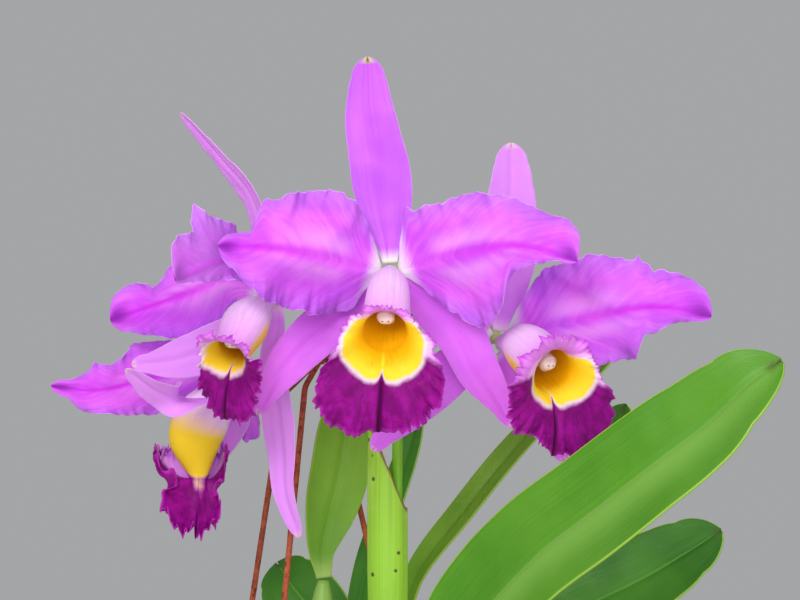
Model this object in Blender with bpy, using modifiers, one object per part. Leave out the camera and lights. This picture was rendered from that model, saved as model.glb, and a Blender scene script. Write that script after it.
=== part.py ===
# Cattleya orchid in flower, growing on bark in a clay pot with a three-wire hanger.
# All shapes are given in millimetres, with the origin under the middle of the pot and +Z up.
# The viewing side is -Y.
import math

import bmesh
import bpy
from mathutils import Vector

MM = 0.001

# Pot and bark
POT_TOP_RADIUS = 70.0
POT_BASE_RADIUS = 48.0
POT_HEIGHT = 112.0
POT_WALL = 6.5
POT_FLOOR = 7.0
RIM_BAND = 20.0
RIM_STEP = 3.5
DRAIN_RADIUS = 6.0
DRAIN_RING = 24.0
BARK_TOP = 98.0
BARK_GAP = 0.4

# Hanger
WIRE_RADIUS = 1.25
HOOK_RADIUS = 1.5
WIRE_GAP = 0.35
TWIST_TOP = 380.0

# Sheets and stalks
TEPAL_THICK = 0.9
LIP_THICK = 0.9
LEAF_THICK = 2.2
SPATHE_THICK = 0.8
RACHIS_RADIUS = 2.1

# How finely the bodies are divided
TEPAL_STEPS = 12
TEPAL_ACROSS = 4
LIP_STEPS = 9
LIP_ROUND = 18
LEAF_STEPS = 14
LEAF_ACROSS = 4
ROUND = 14

# Widths of sepals and petals from the midrib, at equal steps from base to tip
SEPAL = (3.0, 5.0, 8.0, 9.5, 9.8, 9.6, 9.0, 8.2, 6.4, 4.0, 0.6)
BROAD_SEPAL = (3.0, 5.5, 9.2, 11.1, 12.1, 11.8, 11.1, 10.4, 8.9, 6.9, 1.0)
LONG_SEPAL = (2.6, 4.0, 5.4, 6.6, 7.6, 8.2, 7.4, 6.2, 5.2, 4.0, 0.6)
HIDDEN_PETAL = (2.2, 4.4, 7.2, 10.4, 11.6, 11.8, 10.0, 6.0, 0.8)
BROAD_LEAF = (3.6, 10.0, 17.0, 21.0, 22.6, 23.4, 23.8, 23.4, 22.0, 17.0, 1.6)
FULL_LEAF = (3.6, 13.5, 22.5, 25.4, 25.4, 24.8, 24.2, 23.4, 22.0, 17.0, 1.6)
NARROW_LEAF = (3.0, 5.0, 7.0, 8.6, 9.6, 10.0, 10.0, 9.4, 8.4, 6.4, 1.0)
CURVED_LEAF = (3.0, 4.8, 7.6, 10.2, 11.8, 12.4, 12.6, 12.4, 11.0, 7.6, 1.0)

# Each blade has its own spine, given from the middle of its flower, and the way its face looks
# at the base and at the tip. Left and right are as seen with the tip up and the face in front.
FRONT_FLOWER = {
    "middle": (36.0, -60.0, 411.2),
    "facing": (-0.05, -0.97, -0.22),
    "blades": {
        "dorsal_sepal": {
            "spine": ((0, 0.4, 3.6), (-1, 3, 19), (-4, 5, 41), (-8, 4, 63), (-9, -1, 86)),
            "left": BROAD_SEPAL,
            "right": BROAD_SEPAL,
            "face": ((0, -1, 0.1), (0.05, -1, -0.25)),
            "cup": 0.12,
        },
        "left_petal": {
            "spine": ((-3.8, -1.2, 0.4), (-16, -9, 3), (-28, -15, 6), (-43, -21, 9),
                      (-57, -26, 10), (-67, -29, 10)),
            "left": (2, 9.0, 18.5, 25.5, 26.2, 24.4, 23.0, 22.2, 21.6, 19.7, 14.5, 8.6, 0.6),
            "right": (2.4, 12.0, 18.5, 23.7, 26.2, 26.4, 25.0, 23.2, 20.2, 15.2, 6.4, 4.8, 0.6),
            "face": ((-0.3, -1, 0), (-0.4, -1, 0.1)),
            "cup": -0.1,
            "wave": (1.8, 3.0, 0.6),
        },
        "right_petal": {
            "spine": ((3.8, -1.2, 0.4), (16, -9, 4), (32, -17, 8), (47, -23, 10), (61, -27, 8),
                      (73, -30, 4)),
            "left": (2.4, 14.8, 21.3, 21.9, 21.7, 22.1, 22.7, 20.7, 18.4, 16.2, 15.0, 13.3, 0.6),
            "right": (2, 9.0, 18.0, 22.0, 30.0, 33.0, 30.5, 25.2, 12.4, 7.0, 4.8, 2.5, 0.6),
            "face": ((0.3, -1, 0), (0.35, -1, 0.1)),
            "cup": -0.1,
            "wave": (2.0, 3.0, 2.4),
        },
        "left_sepal": {
            "spine": ((-2.6, 0.4, -3.0), (-18, 3, -15), (-34, 2, -29), (-45, 0, -42), (-53, -3, -57)),
            "left": SEPAL,
            "right": SEPAL,
            "face": ((0, -1, 0), (-0.1, -1, 0.1)),
            "cup": 0.12,
        },
        "right_sepal": {
            "spine": ((2.6, 0.4, -3.0), (17, 3, -14), (28, 2, -25), (35, 1, -39), (43, -1, -51),
                      (49, -4, -62)),
            "left": SEPAL,
            "right": SEPAL,
            "face": ((0, -1, 0), (0.1, -1, 0.1)),
            "cup": 0.12,
        },
    },
    "lip": {
        "tube": ((0.0, -3.0, -0.6), (-0.6, -19.0, -8.0), (-1.8, -33.0, -23.0)),
        "mouth": (-0.04, -0.96, -0.3),
        "down": (-0.06, 0.3, -0.95),
        "radii": (4.2, 7.6, 9.6),
        "rim": (41.0, 36.0, 20.0, 16.0, 12.0),
        "reach": (13.0, 12.0, 10.0, 9.0, 7.0),
        "tilt": (1.0, 1.0),
        "flare": 100.0,
    },
    "column": ((0.0, -0.6, 0.0), (-0.4, -14.0, -3.0), (-1.2, -26.0, -12.0), (-1.6, -31.5, -18.6)),
    "ovary": ((3.2, 30.4, -16.8), (1.1, 24.0, -6.3), (0.6, 14.0, -2.3), (0.2, 1.3, 0.2)),
}

RIGHT_FLOWER = {
    "middle": (79.7, -45.0, 383.4),
    "facing": (0.55, -0.78, -0.3),
    "blades": {
        "dorsal_sepal": {
            "spine": ((0.8, 0.9, 4.0), (2, 3, 19), (4, 1, 39), (5, -2, 59), (5, -5, 80)),
            "left": BROAD_SEPAL,
            "right": BROAD_SEPAL,
            "face": ((0.3, -1, 0), (0.3, -1, -0.2)),
            "cup": 0.12,
        },
        "right_petal": {
            "spine": ((4.6, -0.1, 1.6), (19, -5, 5), (36, -10, 9), (54, -15, 13), (70, -21, 13),
                      (84, -23, 10)),
            "left": (2.4, 10.5, 18.7, 23.3, 24.0, 24.9, 24.1, 21.4, 18.7, 15.8, 14.2, 11.1, 0.6),
            "right": (1.8, 4.6, 9.6, 14.0, 17.3, 19.3, 20.0, 20.0, 13.1, 9.3, 5.3, 3.7, 0.6),
            "face": ((0.3, -1, -0.1), (0.25, -1, 0.1)),
            "cup": -0.1,
            "wave": (2.0, 3.0, 0.2),
        },
        "left_petal": {
            "spine": ((-3.2, -2.6, 1.6), (-10, -3.4, 8), (-15, -3, 17), (-20, -2, 29),
                      (-21, 1, 41), (-21, 6, 52)),
            "left": HIDDEN_PETAL,
            "right": HIDDEN_PETAL,
            "face": ((0.5, -1, 0), (0.2, -1, 0)),
            "cup": 0.0,
        },
        "left_sepal": {
            "spine": ((-2.6, 0.4, -2.6), (-14, -1, -8), (-27, -3, -19), (-40, -6, -31), (-51, -9, -44)),
            "left": SEPAL,
            "right": SEPAL,
            "face": ((0.2, -1, 0), (0, -1, 0.1)),
            "cup": 0.12,
        },
        "right_sepal": {
            "spine": ((1.5, 1.0, -3.6), (8, 5, -14), (16, 7, -26), (22, 7, -37), (27, 4, -49)),
            "left": SEPAL,
            "right": SEPAL,
            "face": ((0.3, -1, 0), (0.3, -1, 0)),
            "cup": 0.12,
        },
    },
    "lip": {
        "tube": ((1.8, -2.8, -0.9), (9.5, -16.0, -1.6), (19.5, -33.5, -10.8)),
        "mouth": (0.5, -0.8, -0.33),
        "down": (0.2, -0.25, -0.95),
        "radii": (3.8, 8.8, 9.2),
        "rim": (32.0, 31.0, 23.0, 17.0, 15.0),
        "reach": (13.0, 12.0, 10.0, 9.0, 7.0),
        "tilt": (1.0, 1.0),
        "flare": 100.0,
    },
    "column": ((0.2, -0.1, 0.0), (6.8, -11.8, -1.2), (15.0, -24.0, -4.4), (19.0, -30.0, -8.8)),
    "ovary": ((-37.1, 16.2, 7.7), (-27.4, 16, 14), (-15, 14, 13.3), (-5, 8, 6.4), (-1.1, 1.8, 1.0)),
}

UPPER_LEFT_FLOWER = {
    "middle": (-11.6, -50.0, 401.6),
    "facing": (-0.5, -0.62, -0.6),
    "blades": {
        "dorsal_sepal": {
            "spine": ((-1.4, 1.6, 4.2), (-3, -2, 20), (-8, -5, 40), (-20, -4, 55), (-37, -2, 74)),
            "left": LONG_SEPAL,
            "right": LONG_SEPAL,
            "face": ((-0.8, -0.45, -0.4), (-0.8, -0.4, -0.5)),
            "cup": 0.12,
        },
        "left_petal": {
            "spine": ((-3.6, 2.9, 0.2), (-19, 15, 7), (-34, 25, 2), (-49, 32, -3), (-60, 37, -7),
                      (-69, 40, -10)),
            "left": (2, 5.3, 8.7, 12.0, 15.3, 18.7, 19.7, 19.1, 16.3, 13.5, 10.7, 7.0, 1.2),
            "right": (2.4, 5.9, 8.8, 11.2, 13.2, 15.2, 15.0, 13.3, 7.7, 9.4, 12.2, 10.8, 1.2),
            "face": ((-0.4, -1, 0), (-0.3, -1, 0.1)),
            "cup": -0.08,
            "wave": (1.6, 3.0, 0.4),
        },
        "right_petal": {
            "spine": ((1.8, -4.0, 1.6), (-6, -14, 10), (-15, -25, 14), (-23, -36, 12),
                      (-30, -46, 9), (-35, -54, 6)),
            "left": (2.4, 5.1, 7.2, 9.5, 12.0, 14.3, 16.6, 19.2, 21.5, 15.9, 15.2, 15.0, 4.0),
            "right": (1.6, 2.4, 4.0, 6.0, 7.0, 7.9, 7.7, 7.5, 6.7, 5.6, 4.3, 2.7, 1.0),
            "face": ((-0.85, 0.4, -0.1), (-0.85, 0.45, 0.0)),
            "cup": 0.08,
            "wave": (1.4, 3.0, 1.0),
        },
        "left_sepal": {
            "spine": ((-1.4, 3.6, -4.2), (-14, 12, -16), (-30, 20, -23), (-45, 24, -27), (-59, 26, -28)),
            "left": SEPAL,
            "right": SEPAL,
            "face": ((-0.4, -0.9, -0.3), (-0.3, -1, 0)),
            "cup": 0.12,
        },
        "right_sepal": {
            "spine": ((2.8, -1.8, -3.2), (2.4, 0.4, -12), (0, 2, -23), (2, 2, -42), (4, 2, -62),
                      (5, 2, -80), (11, 4, -98)),
            "left": LONG_SEPAL,
            "right": LONG_SEPAL,
            "face": ((-0.6, -0.75, -0.2), (-0.5, -0.8, 0)),
            "cup": 0.12,
        },
    },
    "lip": {
        "tube": ((-1.6, -2.2, -1.8), (-8.8, -13.0, -9.4), (-14.4, -27.0, -20.8)),
        "mouth": (-0.44, -0.78, -0.44),
        "down": (0.036, 0.46, -0.886),
        "radii": (3.7, 7.4, 8.2),
        "rim": (29.0, 22.0, 15.0, 14.0, 14.0),
        "reach": (13.0, 12.0, 10.0, 9.0, 7.0),
        "tilt": (1.0, 1.0),
        "flare": 100.0,
    },
    "column": ((-0.05, 0.0, 0.0), (-6.6, -10.6, -4.9), (-12.6, -20.2, -13.4), (-15.0, -24.0, -18.6)),
    "ovary": ((47.9, 20.8, -10.4), (39, 21, -2.4), (27, 20, 1.7), (13, 14, 2.5), (0.45, 0.8, 0.65)),
}

LOWER_LEFT_FLOWER = {
    "middle": (-24.3, -15.0, 368.5),
    "facing": (-0.4, 0.05, -0.92),
    "blades": {
        "dorsal_sepal": {
            "spine": ((-2.2, 2.8, 2.8), (-6, 10, 17), (-9, 15, 32), (-13, 17, 43), (-15, 17, 53)),
            "left": SEPAL,
            "right": SEPAL,
            "face": ((-0.6, -0.8, 0), (-0.5, -0.8, 0)),
            "cup": 0.1,
        },
        "right_petal": {
            "spine": ((-3.5, 1.4, 0.8), (-15, 10, 3), (-31, 14, 1), (-47, 9, -3), (-62, 1, -6),
                      (-80, -4, -4)),
            "left": (2, 6.9, 10.9, 12.6, 13.4, 14.2, 14.9, 13.7, 12.1, 10.3, 8.6, 4.0, 0.6),
            "right": (2.4, 6.9, 10.9, 12.6, 13.4, 14.4, 16.3, 12.3, 9.7, 11.1, 7.1, 3.5, 0.6),
            "face": ((-0.1, -1, -0.1), (-0.1, -1, 0.1)),
            "cup": -0.08,
            "wave": (1.6, 3.0, 0.9),
        },
        "left_petal": {
            "spine": ((0.6, 3.6, -0.6), (2, 13, -6), (2, 23, -13), (0, 33, -20), (-3, 41, -28)),
            "left": HIDDEN_PETAL,
            "right": HIDDEN_PETAL,
            "face": ((-0.9, 0.1, -0.4), (-0.9, 0.1, -0.4)),
            "cup": 0.0,
        },
        "right_sepal": {
            "spine": ((-1.2, -3.6, -0.4), (-8, -14, -8), (-21, -27, -10), (-34, -39, -5), (-45, -47, 4)),
            "left": (2.6, 4.6, 6.0, 6.8, 7.4, 7.8, 7.6, 7.0, 6.0, 4.2, 0.6),
            "right": (2.6, 4.6, 6.0, 6.8, 7.4, 7.8, 7.6, 7.0, 6.0, 4.2, 0.6),
            "face": ((-0.6, -0.5, 0.6), (-0.6, -0.8, 0)),
            "cup": 0.1,
        },
        "left_sepal": {
            "spine": ((-1.0, 4.4, -3.0), (-6, 16, -15), (-13, 23, -27), (-19, 28, -37), (-23, 31, -45)),
            "left": SEPAL,
            "right": SEPAL,
            "face": ((-0.5, -0.8, -0.3), (-0.5, -0.8, -0.3)),
            "cup": 0.1,
        },
    },
    "lip": {
        "tube": ((-2.6, 0.4, -5.0), (-15.4, 0.4, -14.6), (-20.8, 1.8, -26.0), (-19.3, 1.5, -43.0)),
        "mouth": (-0.04, -0.15, -0.98),
        "down": (0.05, -0.98, 0.0),
        "radii": (3.7, 9.4, 10.4, 6.2),
        "rim": (16.0, 16.0, 14.0, 13.0, 12.0),
        "reach": (22.0, 17.0, 2.0, -4.0, -3.0),
        "tilt": (1.0, 1.0),
        "flare": 74.0,
    },
    "column": ((-0.6, 0.2, -0.8), (-5.4, 1.0, -8.0), (-13.0, 3.4, -15.0), (-18.6, 4.6, -24.0),
               (-20.4, 4.4, -31.0)),
    "ovary": ((60.9, -14.2, 15.9), (47.8, -5, 15.8), (28.9, 3, 10.7), (12.2, 5, 5.7), (1.3, 0.4, 1.5)),
}

FLOWERS = {
    "front": FRONT_FLOWER,
    "right": RIGHT_FLOWER,
    "upper_left": UPPER_LEFT_FLOWER,
    "lower_left": LOWER_LEFT_FLOWER,
}

# Bulbs: foot, middle, top and greatest radius. Every bulb carries one leaf.
BULBS = {
    "front": ((31, -36, 108), (36.6, -42, 168), (38, -40, 226), 11.0),
    "lower_right": ((52, -10, 108), (56, -8, 160), (57, -2, 212), 10.0),
    "mid_left": ((-1, -12, 108), (4, -15, 195), (8, -8, 283), 9.5),
    "low_left": ((-20, 21, 108.7), (-4, 30, 160), (14, 33, 219), 10.0),
    "behind_sheath": ((12, 12.5, 108), (16, 17, 172), (20, 15, 236), 10.0),
    "back_right": ((34, 14, 108), (35, 17, 170), (37, 18, 233), 10.0),
    "back_far": ((40, 34, 108), (54, 34, 158), (66, 29, 208), 10.0),
}

LEAVES = {
    "front": {
        "spine": ((42.5, -43.9, 228.2), (54, -50, 249), (72, -62, 274), (94, -80, 300), (116, -95, 319),
                  (137, -107, 337), (157, -115, 353), (173, -121, 369), (185, -122, 377)),
        "left": FULL_LEAF,
        "right": BROAD_LEAF,
        "face": ((-0.5, -0.75, 0.35), (-0.45, -0.8, 0.5)),
        "cup": 0.16,
    },
    "lower_right": {
        "spine": ((57.1, -1.9, 214.4), (74, -2, 242), (107, -4, 266), (144, -6, 285), (174, -10, 304)),
        "left": BROAD_LEAF,
        "right": BROAD_LEAF,
        "width": 0.8,
        "face": ((-0.5, -0.8, 0.4), (-0.4, -0.8, 0.4)),
        "cup": 0.16,
    },
    "mid_left": {
        "spine": ((8.2, -7.6, 284.0), (7.2, -7, 295), (10, -6, 309), (14.2, -5, 327), (17, -5.5, 344),
                  (18.6, -7, 358), (17.6, -9, 369)),
        "left": CURVED_LEAF,
        "right": CURVED_LEAF,
        "face": ((0.1, -1, -0.3), (0.2, -1, -0.4)),
        "cup": 0.2,
    },
    "low_left": {
        "spine": ((14.5, 33.1, 221.0), (12, 37, 246), (3, 44, 263), (-7, 50, 275), (-14, 56, 285)),
        "left": BROAD_LEAF,
        "right": BROAD_LEAF,
        "width": 0.7,
        "face": ((-0.2, -0.9, 0.2), (-0.4, -0.8, 0.5)),
        "cup": 0.16,
    },
    "behind_sheath": {
        "spine": ((20.1, 15.0, 236.9), (21, 14, 262), (26, 13, 286), (35, 12, 312), (44, 12, 338),
                  (49, 16, 360)),
        "left": NARROW_LEAF,
        "right": NARROW_LEAF,
        "width": 0.6,
        "face": ((-0.3, -1, 0.1), (-0.3, -1, 0.1)),
        "cup": 0.2,
    },
    "back_right": {
        "spine": ((37.2, 18.0, 234.4), (41, 13, 260), (47, 9, 284), (67, 6, 311), (89, 8, 338),
                  (112, 10, 361), (131, 12, 377)),
        "left": NARROW_LEAF,
        "right": NARROW_LEAF,
        "width": 0.66,
        "face": ((-0.6, -0.7, 0.4), (-0.5, -0.8, 0.4)),
        "cup": 0.2,
    },
    "back_far": {
        "spine": ((66.2, 29.0, 209.0), (77, 28, 238), (90, 30, 264), (107, 33, 296),
                  (124, 36, 326), (138, 38, 355)),
        "left": BROAD_LEAF,
        "right": BROAD_LEAF,
        "width": 0.6,
        "face": ((-0.6, -0.7, 0.4), (-0.5, -0.8, 0.4)),
        "cup": 0.18,
    },
}

PEDUNCLE = ((38.0, -37.2, 226.8), (38.6, -37.6, 262), (38.8, -38.2, 294), (38.8, -37.4, 331), (39.2, -33, 359),
            (39.6, -30.0, 382), (39.6, -29, 393))
SPATHE = ((37.8, -37.2, 227.2), (35.4, -38.4, 262), (34.9, -38.8, 300), (34.9, -38.6, 352))
SPATHE_SIDE = (3.9, 7.0, 7.4, 7.4, 7.0)
SPATHE_DEEP = (3.4, 5.2, 5.6, 5.6, 5.2)
SPATHE_CUT = (315.0, 350.0)

RHIZOMES = {
    "rhizome_main": ((-31, 20, 103.0), (-20, 21, 103.0), (-4, 17, 103.0), (12, 12.5, 103.0),
                     (24, 13, 103.0),
                     (36, 11, 103.0), (45, 1, 103.0), (52, -10, 103.0), (54, -15, 103.0)),
    "rhizome_front": ((9.0, 6.8, 103.0), (3, -3, 103.0), (-1, -12, 103.0), (8, -23, 103.0),
                      (20, -30, 103.0),
                      (31, -36, 103.0), (36, -39.5, 103.0)),
    "rhizome_back": ((35.4, 17.0, 103.0), (38, 26, 103.0), (40, 34, 103.0), (41, 38, 103.0)),
}
RHIZOME_RADIUS = 4.6

ROOTS = {
    "root_front": ((4.0, -28.6, 100.6), (-6, -36, 100.4), (-20, -40, 100.4), (-32, -36, 100.4),
                   (-44, -30, 100.4)),
    "root_left": ((-36.6, 18.6, 100.6), (-46, 12, 100.4), (-50, 0, 100.4), (-46, -12, 100.4)),
}
ROOT_RADIUS = 1.9

# The three wires: direction round the pot in degrees
WIRES = {"hanger_wire_right": 12.0, "hanger_wire_back": 132.0, "hanger_wire_left": 252.0}
APEX = (7.0, 0.0)
WIRE_BENDS = {
    "hanger_wire_right": (9.8, 0.6, 368.0),
    "hanger_wire_back": (-9.4, 8.4, 360.0),
    "hanger_wire_left": (0.4, -10.0, 363.8),
}


def at_length(points, share):
    """Place at a share of the length of a smooth line through the points."""
    knots = [Vector(p) for p in points]
    steps = [(b - a).length for a, b in zip(knots, knots[1:])]
    along = max(0.0, min(1.0, share)) * sum(steps)
    i = 0
    while i < len(steps) - 1 and along > steps[i]:
        along -= steps[i]
        i += 1

    def slope(k):
        if k == 0:
            return (knots[1] - knots[0]) / steps[0]
        if k == len(steps):
            return (knots[-1] - knots[-2]) / steps[-1]
        return (knots[k + 1] - knots[k - 1]) / (steps[k - 1] + steps[k])

    x = along / steps[i]
    start = knots[i] * (2 * x**3 - 3 * x**2 + 1) + slope(i) * steps[i] * (x**3 - 2 * x**2 + x)
    end = knots[i + 1] * (3 * x**2 - 2 * x**3) + slope(i + 1) * steps[i] * (x**3 - x**2)
    return start + end


def between(values, share):
    """Value at a share of the way through evenly spaced values."""
    place = max(0.0, min(1.0, share)) * (len(values) - 1)
    i = min(int(place), len(values) - 2)
    return values[i] + (values[i + 1] - values[i]) * (place - i)


def frame_at(points, share, face):
    """Place, direction, side and face of a blade at a share of its length."""
    place = at_length(points, share)
    along = (at_length(points, share + 0.02) - at_length(points, share - 0.02)).normalized()
    face = Vector(face)
    out = (face - along * face.dot(along)).normalized()
    return place, along, along.cross(out), out


def blade_rows(blade, steps, across):
    """Rows of points over a sepal, petal or leaf, from base to tip."""
    high, count, start = blade.get("wave", (0.0, 1.0, 0.0))
    rows = []
    for i in range(steps + 1):
        share = i / steps
        face = Vector(blade["face"][0]).lerp(Vector(blade["face"][1]), share)
        place, along, side, out = frame_at(blade["spine"], share, face)
        row = []
        for j in range(across + 1):
            v = 2 * j / across - 1
            wide = between(blade["right"] if v > 0 else blade["left"], share)
            lift = blade["cup"] * wide * v * v
            turn = start + (1.3 if v > 0 else 0.0)
            lift += high * abs(v) ** 3 * math.sin(math.tau * count * share + turn) * math.sin(math.pi * share)
            row.append(place + side * (v * wide) + out * lift)
        rows.append(row)
    return rows


def lip_rows(lip, steps, around):
    """Rows of points over a lip: a tube open along its top that flares into a frilled mouth."""
    mouth = Vector(lip["mouth"]).normalized()
    rows = []
    for i in range(steps + 1):
        u = i / steps
        tube = min(1.0, u / 0.5)
        flare = max(0.0, (u - 0.5) / 0.5)
        place = at_length(lip["tube"], tube)
        along = (at_length(lip["tube"], tube + 0.03) - at_length(lip["tube"], tube - 0.03)).normalized()
        along = along.lerp(mouth, tube**3).normalized()
        down = Vector(lip["down"])
        down = (down - along * down.dot(along)).normalized()
        side = down.cross(along)
        inner = between(lip["radii"], tube)
        bend = math.radians(lip["flare"])
        row = []
        for j in range(around + 1):
            v = 2 * j / around - 1
            angle = v * math.radians(172.0 - 6.0 * flare)
            rim = between(lip["rim"], abs(v))
            reach = between(lip["reach"], abs(v))
            radius = inner + (rim - inner) * (1 - math.cos(bend * flare)) / (1 - math.cos(bend))
            ahead = reach * math.sin(bend * flare)
            ahead += 1.6 * flare**2 * math.sin(9 * angle + 0.5)
            ray = down * math.cos(angle) + side * math.sin(angle)
            row.append(place + ray * radius + along * ahead)
        rows.append(row)
    return rows


def spathe_rows(steps, around):
    """Rows of points up the flattened tube of the spathe, cut at a slant."""
    rows = []
    low, high = SPATHE_CUT
    for i in range(steps + 1):
        row = []
        for j in range(around):
            angle = math.tau * j / around
            top = (low + high) / 2 - (high - low) / 2 * math.cos(angle)
            height = SPATHE[0][2] + (top - SPATHE[0][2]) * i / steps
            share = (height - SPATHE[0][2]) / (SPATHE[-1][2] - SPATHE[0][2])
            place = at_length(SPATHE, share)
            row.append(Vector((
                place.x + between(SPATHE_SIDE, share) * math.cos(angle),
                place.y + between(SPATHE_DEEP, share) * math.sin(angle),
                height,
            )))
        rows.append(row)
    return rows


def new_collection(name):
    group = bpy.data.collections.new(name)
    bpy.context.scene.collection.children.link(group)
    return group


def add_object(name, data, place, colour, roughness=0.5, metallic=0.0, holder=None):
    """Put a mesh or curve at its place in the orchid's collection, with a material of its own."""
    obj = bpy.data.objects.new(name, data)
    PARTS.objects.link(obj)
    obj.location = Vector(place) * MM
    obj.parent = holder
    material = bpy.data.materials.new(name)
    material.use_nodes = True
    shader = material.node_tree.nodes["Principled BSDF"]
    shader.inputs["Base Color"].default_value = (*colour, 1.0)
    shader.inputs["Roughness"].default_value = roughness
    shader.inputs["Metallic"].default_value = metallic
    data.materials.append(material)
    return obj


def sheet(name, rows, thick, colour, roughness=0.5, closed=False, place=(0, 0, 0), holder=None):
    """A thin body from rows of points, thickened evenly to both sides."""
    start = Vector(place)
    work = bmesh.new()
    grid = [[work.verts.new((p - start) * MM) for p in row] for row in rows]
    count = len(grid[0])
    last = count if closed else count - 1
    for low, high in zip(grid, grid[1:]):
        for j in range(last):
            k = (j + 1) % count
            work.faces.new((low[j], low[k], high[k], high[j]))
    for face in work.faces:
        face.smooth = True
    mesh = bpy.data.meshes.new(name)
    work.to_mesh(mesh)
    work.free()
    obj = add_object(name, mesh, start, colour, roughness, 0.0, holder)
    solid = obj.modifiers.new("Solidify", "SOLIDIFY")
    solid.thickness = thick * MM
    solid.offset = 0.0
    return obj


def stalk(name, points, radii, colour, roughness=0.5, samples=10, sides=3, holder=None):
    """A round rod along a smooth line, with a radius that changes along it and closed ends."""
    start = Vector(points[0])
    curve = bpy.data.curves.new(name, "CURVE")
    curve.dimensions = "3D"
    curve.bevel_depth = MM
    curve.bevel_resolution = sides
    curve.use_fill_caps = True
    line = curve.splines.new("POLY")
    line.points.add(samples)
    for i in range(samples + 1):
        place = (at_length(points, i / samples) - start) * MM
        line.points[i].co = (*place, 1.0)
        line.points[i].radius = between(radii, i / samples)
    line.use_smooth = True
    return add_object(name, curve, start, colour, roughness, 0.0, holder)


def turned(name, profile, colour, roughness=0.7, steps=32):
    """A body turned round the Z axis from a closed profile of (radius, height)."""
    work = bmesh.new()
    dots = [work.verts.new((r * MM, 0.0, z * MM)) for r, z in profile]
    for a, b in zip(dots, dots[1:]):
        work.edges.new((a, b))
    mesh = bpy.data.meshes.new(name)
    work.to_mesh(mesh)
    work.free()
    obj = add_object(name, mesh, (0, 0, 0), colour, roughness)
    screw = obj.modifiers.new("Screw", "SCREW")
    screw.axis = "Z"
    screw.steps = steps
    screw.render_steps = steps
    screw.use_merge_vertices = True
    screw.merge_threshold = 0.0001
    screw.use_normal_calculate = True
    screw.use_smooth_shade = True
    return obj


def build_flower(place, flower):
    """One flower: five blades, the lip, the column and the ovary with its stalk."""
    middle = bpy.data.objects.new(place + "_flower", None)
    PARTS.objects.link(middle)
    middle.location = Vector(flower["middle"]) * MM
    middle.empty_display_size = 20 * MM
    for part, blade in flower["blades"].items():
        rows = blade_rows(blade, TEPAL_STEPS, TEPAL_ACROSS)
        sheet(place + "_" + part, rows, TEPAL_THICK, (0.62, 0.25, 0.76), 0.55, holder=middle)
    rows = lip_rows(flower["lip"], LIP_STEPS, LIP_ROUND)
    sheet(place + "_lip", rows, LIP_THICK, (0.36, 0.01, 0.30), 0.5, holder=middle)
    girths = (2.0, 2.3, 3.0, 3.8, 3.4)
    stalk(place + "_column", flower["column"], girths, (0.80, 0.58, 0.60), 0.4, holder=middle)
    girths = (1.7, 1.7, 1.9, 2.4, 2.6, 3.0)
    stalk(place + "_ovary", flower["ovary"], girths, (0.32, 0.48, 0.16), 0.45, holder=middle)


def build_pot():
    """Clay pot with a rim band and drain holes off the middle of its floor."""
    body_top = POT_TOP_RADIUS - RIM_STEP
    slope = (body_top - POT_BASE_RADIUS) / (POT_HEIGHT - RIM_BAND)
    inner_low = POT_BASE_RADIUS + slope * POT_FLOOR - POT_WALL
    inner_top = POT_TOP_RADIUS - POT_WALL
    profile = (
        (0.0, POT_FLOOR),
        (inner_low, POT_FLOOR),
        (inner_top, POT_HEIGHT - 1.5),
        (inner_top + 1.2, POT_HEIGHT),
        (POT_TOP_RADIUS - 1.2, POT_HEIGHT),
        (POT_TOP_RADIUS, POT_HEIGHT - 1.5),
        (POT_TOP_RADIUS - 1.0, POT_HEIGHT - RIM_BAND),
        (body_top - 1.0, POT_HEIGHT - RIM_BAND),
        (POT_BASE_RADIUS + 0.6, 1.5),
        (POT_BASE_RADIUS - 1.0, 0.0),
        (0.0, 0.0),
    )
    pot = turned("pot", tuple(profile), (0.42, 0.16, 0.08), 0.85, 40)
    for i in range(3):
        angle = math.tau * i / 3 + 0.5
        bpy.ops.mesh.primitive_cylinder_add(
            vertices=20, radius=DRAIN_RADIUS * MM, depth=4 * POT_FLOOR * MM,
            location=(DRAIN_RING * MM * math.cos(angle), DRAIN_RING * MM * math.sin(angle), 0.0),
        )
        cutter = bpy.context.object
        cutter.name = "drain_cutter_" + str(i + 1)
        for group in list(cutter.users_collection):
            group.objects.unlink(cutter)
        CUTTERS.objects.link(cutter)
        cutter.hide_render = True
        cutter.display_type = "WIRE"
        hole = pot.modifiers.new("Drain", "BOOLEAN")
        hole.operation = "DIFFERENCE"
        hole.solver = "EXACT"
        hole.object = cutter
    return inner_low, inner_top


def build_bark(inner_low, inner_top):
    """The bark filling, a little below the rim and a little clear of the clay."""
    foot = POT_FLOOR + BARK_GAP
    rise = (inner_top - inner_low) / (POT_HEIGHT - 1.5 - POT_FLOOR)
    low = inner_low + rise * BARK_GAP - BARK_GAP
    high = inner_low + rise * (BARK_TOP - 2.0 - POT_FLOOR) - BARK_GAP
    profile = (
        (0.0, BARK_TOP),
        (high * 0.5, BARK_TOP),
        (high - 3.0, BARK_TOP),
        (high, BARK_TOP - 2.0),
        (low, foot),
        (0.0, foot),
    )
    turned("bark", profile, (0.16, 0.08, 0.04), 0.95, 32)


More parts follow.
